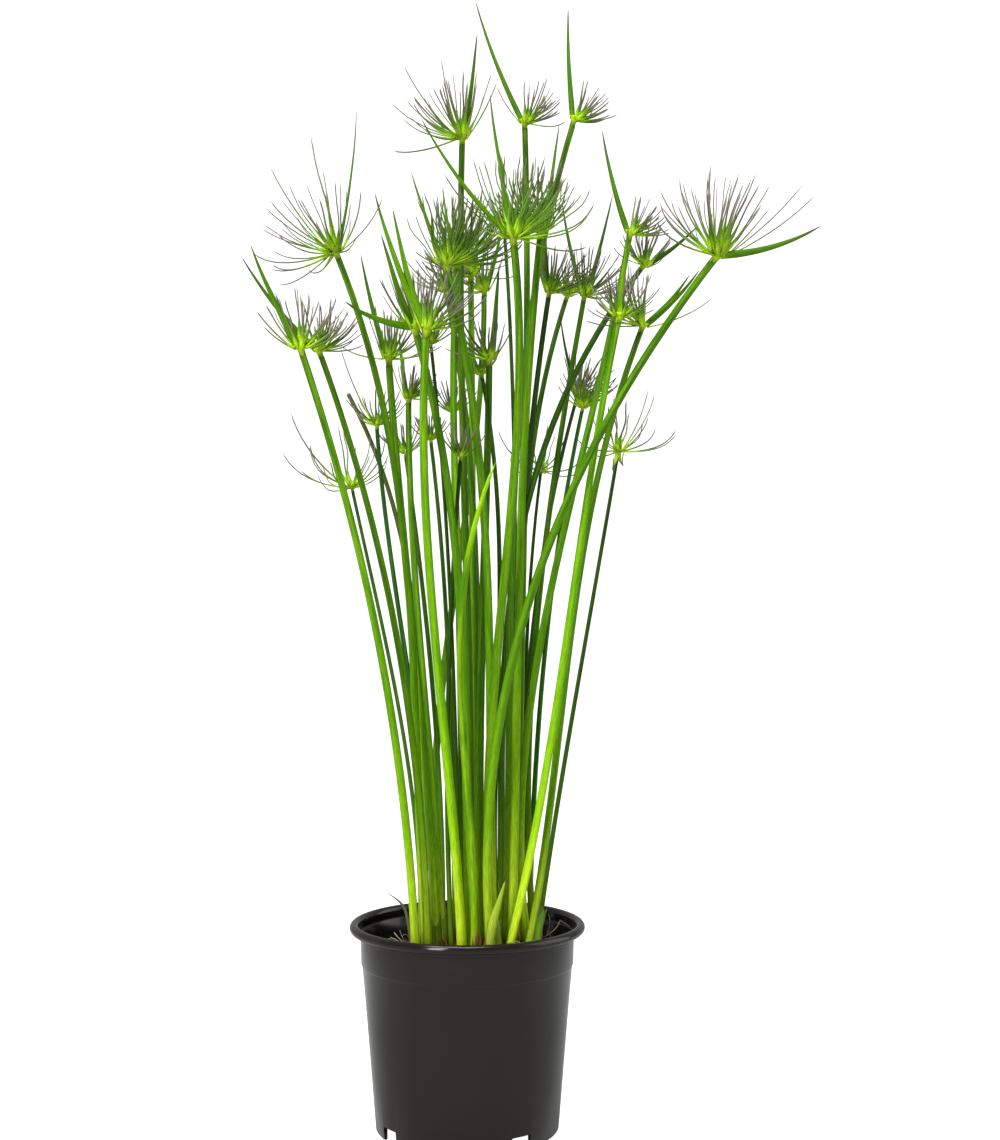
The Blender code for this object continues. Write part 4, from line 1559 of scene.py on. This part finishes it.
    def brown_sheath(self) -> None:
        """The frayed red-brown sheath at the front of the crown."""
        growth = Growth(0.3)
        chance = random.Random(8)
        bow = Vector((0, -0.8 * MM, 0))
        for foot, top, height in self.strands:
            growth.own = chance.uniform(-0.6, 1)
            low = seen(foot * MM, 110 * MM, -36 * MM)
            low.z = FOOT_Z - 1.5 * MM
            tip = seen(top * MM, height * MM, -37 * MM)
            points = bowed(low, tip, bow, self.shapes.scale.shares)
            widths = [share * MM for share in (0.9, 1.1, 1.0, 0.7, 0.4, 0.12)]
            growth.sweep(self.shapes.scale, rings_along(points, ACROSS), widths,
                         [0.2 * MM] * len(widths), fold=0.3)
        piece = growth.piece("papyrus_brown_sheath", [self.wardrobe.take(DEAD_SCALE)])
        settle(piece, Slot.SHEATH, "brown_sheath")


def spline(corners: list[Vector], low: int, t: float) -> Vector:
    """A point on the smooth curve through corners.

    Args:
        corners: The points it passes through.
        low: The corner before the point.
        t: Share of the way to the next corner.

    Returns:
        The point.
    """
    before = corners[max(low - 1, 0)]
    after = corners[min(low + 2, len(corners) - 1)]
    start, end = corners[low], corners[low + 1]
    return 0.5 * (
        start * 2 + (end - before) * t
        + (before * 2 - start * 5 + end * 4 - after) * t**2
        + (start * 3 - before - end * 3 + after) * t**3
    )


def smooth_line(corners: list[Vector], shares: list[float]) -> list[Vector]:
    """Points of the smooth curve through corners.

    Args:
        corners: The points it passes through.
        shares: How far along it each point is, from 0 to 1.

    Returns:
        The points from the first corner to the last.
    """
    spans = len(corners) - 1
    points = []
    for share in shares:
        place = share * spans
        low = min(int(place), spans - 1)
        points.append(spline(corners, low, place - low))
    return points


def bowed(start: Vector, end: Vector, bow: Vector, shares: list[float]) -> list[Vector]:
    """Points from start to end, which stand off by the bow in the middle."""
    return [start.lerp(end, share) + bow * math.sin(math.pi * share) for share in shares]


def arc(centre: Reading, radius: float, start_deg: float, end_deg: float,
        steps: int) -> list[Reading]:
    """Points of an arc in the (radius, height) plane."""
    angles = [math.radians(between(start_deg, end_deg, i / steps)) for i in range(steps + 1)]
    return [(centre[0] + radius * math.cos(a), centre[1] + radius * math.sin(a)) for a in angles]


def turned(profile: list[Reading], steps: int) -> BMesh:
    """A body turned about Z.

    Args:
        profile: Points (radius, height) from the axis round to the axis.
        steps: Steps in a full turn.

    Returns:
        The closed mesh, with its faces outwards.
    """
    bm = bmesh.new()
    verts = [bm.verts.new((radius, 0.0, height)) for radius, height in profile]
    edges = [bm.edges.new(pair) for pair in zip(verts, verts[1:])]
    bmesh.ops.spin(bm, geom=verts + edges, cent=(0, 0, 0), axis=(0, 0, 1), angle=math.tau,
                   steps=steps, use_merge=True)
    bmesh.ops.remove_doubles(bm, verts=bm.verts[:], dist=0.01 * MM)
    bmesh.ops.recalc_face_normals(bm, faces=bm.faces[:])
    for face in bm.faces:
        face.smooth = True
    return bm


@dataclass
class NurseryPot:
    """The moulded pot: rolled rim, ring, inner ledge, step line and drainage notches."""

    height: float = 122 * MM
    rim_radius: float = 70 * MM
    wall_top_radius: float = 63.6 * MM
    step_radius: float = 63.1 * MM
    base_radius: float = 54.3 * MM
    wall: float = 1.2 * MM
    floor: float = 1.6 * MM
    pad_radius: float = 36 * MM
    foot_width: float = 2 * MM
    channel_height: float = 8.5 * MM
    bead: float = 5.6 * MM
    ring_drop: float = 2.4 * MM
    ledge_drop: float = 6.7 * MM
    step_drop: float = 25 * MM
    step_depth: float = 0.8 * MM
    notches: int = 4
    notch_height: float = 8 * MM
    notch_width: float = 13 * MM
    notch_depth: float = 4.9 * MM
    notch_rounding: float = 4 * MM
    first_notch_deg: float = -54.5
    sides: int = 144
    bead_steps: int = 18
    crease_deg: float = 38
    soft: float = 0.35 * MM

    def wall_radius(self, z: float) -> float:
        """Outer radius of the wall at a height below the step."""
        rise = self.step_radius - self.step_depth - self.base_radius
        return self.base_radius + rise * z / (self.height - self.step_drop)

    def profile(self) -> list[Reading]:
        """The pot's section.

        Returns:
            Points (radius, height) from the middle of the floor, up the inside, over the rim, down
            the outside and underneath.
        """
        step_z = self.height - self.step_drop
        ledge_z = self.height - self.ledge_drop
        bead, soft = self.bead / 2, self.soft
        middle = (self.rim_radius - bead, self.height - bead)
        lip_z = middle[1] - bead
        ring = self.wall_top_radius + self.ring_drop / 2
        base = self.base_radius
        roof_z = self.channel_height + self.floor
        return [
            (0.0, self.floor),
            (self.pad_radius, self.floor),
            (self.wall_radius(roof_z) - self.wall, roof_z),
            (self.wall_radius(step_z) - self.wall, step_z),
            (self.wall_top_radius - self.wall, ledge_z - self.wall),
            (self.wall_top_radius - self.wall + 0.4 * MM, ledge_z - 0.3 * MM),
            (self.rim_radius - self.bead - 0.3 * MM, ledge_z),
            *arc(middle, bead, 180, -90, self.bead_steps),
            (ring + 0.2 * MM, lip_z),
            (ring, lip_z - soft),
            (ring, lip_z - self.ring_drop + soft),
            (ring - soft, lip_z - self.ring_drop),
            (self.wall_top_radius, lip_z - self.ring_drop),
            (self.wall_top_radius - 0.15 * MM, lip_z - self.ring_drop - 1.2 * MM),
            (self.step_radius, step_z + self.step_depth + soft),
            (self.step_radius - soft, step_z + self.step_depth - 0.2 * MM),
            (self.wall_radius(step_z) + 0.1 * MM, step_z),
            (self.wall_radius(step_z * 0.66), step_z * 0.66),
            (self.wall_radius(step_z * 0.33), step_z * 0.33),
            (self.wall_radius(1.5 * soft), 1.5 * soft),
            (base - soft, 0.0),
            (base - self.foot_width + soft, 0.0),
            (base - self.foot_width, soft),
            (base - self.foot_width, self.channel_height),
            (self.pad_radius, 0.0),
            (0.0, 0.0),
        ]

    def notch_cutter(self) -> Object:
        """Make the blocks that cut the notches round the foot.

        Returns:
            The blocks as one object.
        """
        bm = bmesh.new()
        for notch in range(self.notches):
            angle = math.radians(self.first_notch_deg + 360 * notch / self.notches)
            block = bmesh.ops.create_cube(bm, size=1.0)["verts"]
            size = (self.notch_width, self.notch_depth * 2, self.notch_height * 2)
            bmesh.ops.scale(bm, vec=size, verts=block)
            bmesh.ops.translate(bm, vec=(0, -self.base_radius - 2 * MM, 0), verts=block)
            bmesh.ops.rotate(bm, cent=(0, 0, 0), matrix=Matrix.Rotation(angle, 3, "Z"), verts=block)
        edges = [e for e in bm.edges if min(v.co.z for v in e.verts) > 0
                 and e.calc_length() > self.notch_width + MM]
        bmesh.ops.bevel(bm, geom=edges, offset=self.notch_rounding, segments=8, profile=0.5,
                        affect="EDGES", material=-1)
        return finished(bm, "notch_cutter", [])

    def build(self, wardrobe: Wardrobe) -> None:
        """Turn the pot, cut its notches and dress it.

        Args:
            wardrobe: The materials.
        """
        plain = turned(self.profile(), self.sides)
        pot = finished(plain, "nursery_pot", [wardrobe.take(POT_PLASTIC)])
        cutter = self.notch_cutter()
        cut = pot.modifiers.new("Notches", "BOOLEAN")
        cut.operation = "DIFFERENCE"
        cut.solver = "EXACT"
        cut.object = cutter
        shape = bpy.data.meshes.new_from_object(
            pot.evaluated_get(bpy.context.evaluated_depsgraph_get())
        )
        pot.modifiers.clear()
        uncut = pot.data
        pot.data = shape
        bpy.data.meshes.remove(uncut)
        bpy.data.objects.remove(cutter)
        shape.name = "nursery_pot"
        shape.shade_smooth()
        shape.set_sharp_from_angle(angle=math.radians(self.crease_deg))
        settle(pot, Slot.POT, "pot")


@dataclass
class Peat:
    """The soil in the pot, its loose crumbs and the woody crown that the stems grow from."""

    crown_size: Crown
    top: float = 103 * MM
    low: float = 1.9 * MM
    pad_radius: float = 35.7 * MM
    low_edge: float = 10.4 * MM
    low_radius: float = 53.6 * MM
    shoulder: float = 60.7 * MM
    step: float = 96 * MM
    rings: int = 26
    sides: int = 120
    crumbs: int = 900
    crumb_reach: float = 58 * MM
    crumb_rest: float = 1.1 * MM
    crumb_sink: float = 0.2 * MM

    def build(self, wardrobe: Wardrobe) -> None:
        """Make the soil, the crown and the crumbs.

        Args:
            wardrobe: The materials.
        """
        self.soil(wardrobe.take(PEAT))
        self.crown(wardrobe.take(CROWN_WOOD))
        self.loose(wardrobe.take(PEAT))

    def soil(self, material: Material) -> None:
        """The body of the soil, with an uneven top.

        Args:
            material: Its finish.
        """
        profile = [(self.shoulder * order / self.rings, self.top - 0.8 * MM)
                   for order in range(self.rings)]
        profile += [(self.shoulder, self.top - 2.2 * MM), (self.shoulder, self.step),
                    (self.low_radius, self.low_edge), (self.pad_radius, self.low), (0.0, self.low)]
        bm = turned(profile, self.sides)
        for vert in bm.verts:
            if vert.co.z > self.step + MM:
                coarse = noise.noise(vert.co / (9 * MM))
                fine = noise.noise(vert.co / (2.6 * MM) + Vector((7, 3, 1)))
                vert.co.z += (coarse * 1.2 + fine * 0.7) * MM
        settle(finished(bm, "potting_soil", [material]), Slot.SOIL, "soil")

    def crown(self, material: Material) -> None:
        """The low knobbly mound.

        Args:
            material: Its finish.
        """
        crown = self.crown_size
        bm = bmesh.new()
        bmesh.ops.create_uvsphere(bm, u_segments=72, v_segments=36, radius=1.0)
        size = (crown.half_width, crown.half_depth, crown.half_height)
        bmesh.ops.scale(bm, vec=size, verts=bm.verts[:])
        bmesh.ops.translate(bm, vec=(crown.x, 0.0, crown.middle_z), verts=bm.verts[:])
        for vert in bm.verts:
            knob = noise.noise(vert.co / (5 * MM)) * 1.1 + noise.noise(vert.co / (1.8 * MM)) * 0.45
            vert.co.z += knob * MM
        for face in bm.faces:
            face.smooth = True
        settle(finished(bm, "woody_crown", [material]), Slot.RHIZOME, "rhizome")

    def loose(self, material: Material) -> None:
        """Crumbs lying on the soil and on the crown, thickest near the wall.

        Args:
            material: Their finish.
        """
        crown = self.crown_size
        rise = crown.half_height - self.crumb_sink
        chance = random.Random(41)
        bm = bmesh.new()
        for _ in range(self.crumbs):
            turn = chance.uniform(0, math.tau)
            out = math.sqrt(chance.uniform(0.25, 0.97)) * self.crumb_reach
            size = chance.uniform(0.35, 1.5) * MM
            made = bmesh.ops.create_icosphere(bm, subdivisions=1, radius=size)["verts"]
            for vert in made:
                vert.co *= 1 + chance.uniform(-0.25, 0.25)
            bmesh.ops.scale(bm, vec=(1.0, chance.uniform(0.6, 1.0), 0.7), verts=made)
            place = heading(turn) * out
            ground = self.top - self.crumb_rest
            from_crown = Vector(((place.x - crown.x) / crown.half_width,
                                 place.y / crown.half_depth))
            if from_crown.length < 1:
                mound = crown.middle_z + rise * math.sqrt(1 - from_crown.length_squared)
                ground = max(ground, mound)
            place.z = ground + size * 0.35
            bmesh.ops.translate(bm, vec=place, verts=made)
        settle(finished(bm, "soil_crumbs", [material]), Slot.SOIL)


class SoftLight(NamedTuple):
    """A rectangular light: its name, middle, width and height, and its power in watts."""

    name: str
    place: tuple[float, float, float]
    size: tuple[float, float]
    power: float


LIGHTS = (
    SoftLight("key_softbox", (-0.9, -1.6, 0.95), (0.5, 1.8), 27.0),
    SoftLight("side_softbox", (1.5, 0.1, 0.8), (1.3, 1.6), 8.0),
    SoftLight("top_softbox", (-0.2, -0.4, 2.0), (1.2, 1.0), 20.0),
)


@dataclass
class Studio:
    """Pale floor, soft lights and the camera."""

    floor_radius: float = 1.6
    floor_drop: float = 0.2 * MM
    floor_grey: float = 0.5
    floor_glow: float = 0.06
    floor_white: float = 0.8
    sky_light: float = 0.3
    sky_white: float = 1.0
    exposure: float = 0.35
    aim: tuple[float, float, float] = (0.02, 0.0, 0.32)

    def build(self) -> None:
        """Set up the stage."""
        self.floor()
        self.sky()
        for light in LIGHTS:
            self.light(light)
        self.camera()
        view = bpy.context.scene.view_settings
        view.view_transform = "Standard"
        view.exposure = self.exposure

    def light(self, light: SoftLight) -> None:
        """Set up one light, facing the plant.

        Args:
            light: The light's place, size and power.
        """
        data = bpy.data.lights.new(light.name, "AREA")
        data.shape = "RECTANGLE"
        data.size, data.size_y = light.size
        data.energy = light.power
        lamp = bpy.data.objects.new(light.name, data)
        lamp.location = light.place
        way = Vector(self.aim) - Vector(light.place)
        lamp.rotation_euler = way.to_track_quat("-Z", "Y").to_euler()
        bpy.context.scene.collection.objects.link(lamp)

    @staticmethod
    def by_eye(graph: Graph, lighting: float, looks: float) -> NodeSocket:
        """A strength that is one value for the light it gives and another for the camera."""
        seen_directly = graph.node("ShaderNodeLightPath").outputs["Is Camera Ray"]
        return graph.reach(seen_directly, 0.0, 1.0, lighting, looks)

    def floor(self) -> None:
        """A wide plain pale floor."""
        bm = bmesh.new()
        bmesh.ops.create_circle(bm, cap_ends=True, segments=96, radius=self.floor_radius)
        bmesh.ops.translate(bm, vec=(0.0, 0.0, -self.floor_drop), verts=bm.verts[:])
        material = bpy.data.materials.new("studio_floor")
        material.use_nodes = True
        graph = Graph(material.node_tree)
        shader = material.node_tree.nodes["Principled BSDF"]
        shader.inputs["Base Color"].default_value = graph.colour(self.floor_grey)
        shader.inputs["Roughness"].default_value = 0.9
        shader.inputs["Specular IOR Level"].default_value = 0.1
        shader.inputs["Emission Color"].default_value = graph.colour(1.0)
        glow = self.by_eye(graph, self.floor_glow, self.floor_white)
        graph.feed(shader, {"Emission Strength": glow})
        finished(bm, "studio_floor", [material])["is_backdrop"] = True

    def sky(self) -> None:
        """White surroundings that light the object a little less than they look."""
        world = bpy.data.worlds.new("studio")
        bpy.context.scene.world = world
        world.use_nodes = True
        graph = Graph(world.node_tree)
        background = world.node_tree.nodes["Background"]
        background.inputs["Color"].default_value = graph.colour(1.0)
        graph.feed(background, {"Strength": self.by_eye(graph, self.sky_light, self.sky_white)})

    def camera(self) -> None:
        """The photograph's viewing angle: level, a little right of the pot's axis."""
        data = bpy.data.cameras.new("camera")
        data.sensor_fit = "AUTO"
        data.sensor_width = SENSOR
        data.lens = LENS
        data.clip_start = 0.01
        holder = bpy.data.objects.new("camera", data)
        holder.location = VIEW_POINT
        holder.rotation_euler = (math.radians(90), 0.0, 0.0)
        bpy.context.scene.collection.objects.link(holder)
        bpy.context.scene.camera = holder


def main() -> None:
    """Build every piece in order."""
    logging.basicConfig(level=logging.INFO, format="%(message)s")
    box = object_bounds()
    Studio().build()
    wardrobe = Wardrobe()
    shapes = Shapes()
    crown = Crown()
    NurseryPot().build(wardrobe)
    Peat(crown).build(wardrobe)
    clump = Clump()
    culms = [Culm(stem, order, clump) for order, stem in enumerate(STEMS)]
    for culm in culms:
        culm.claim_room()
    for culm in culms:
        StemPiece(culm, shapes).build(wardrobe, box)
    FootDetails(shapes, wardrobe, crown).build(culms)
    shapes.clear()


if __name__ == "__main__":
    main()
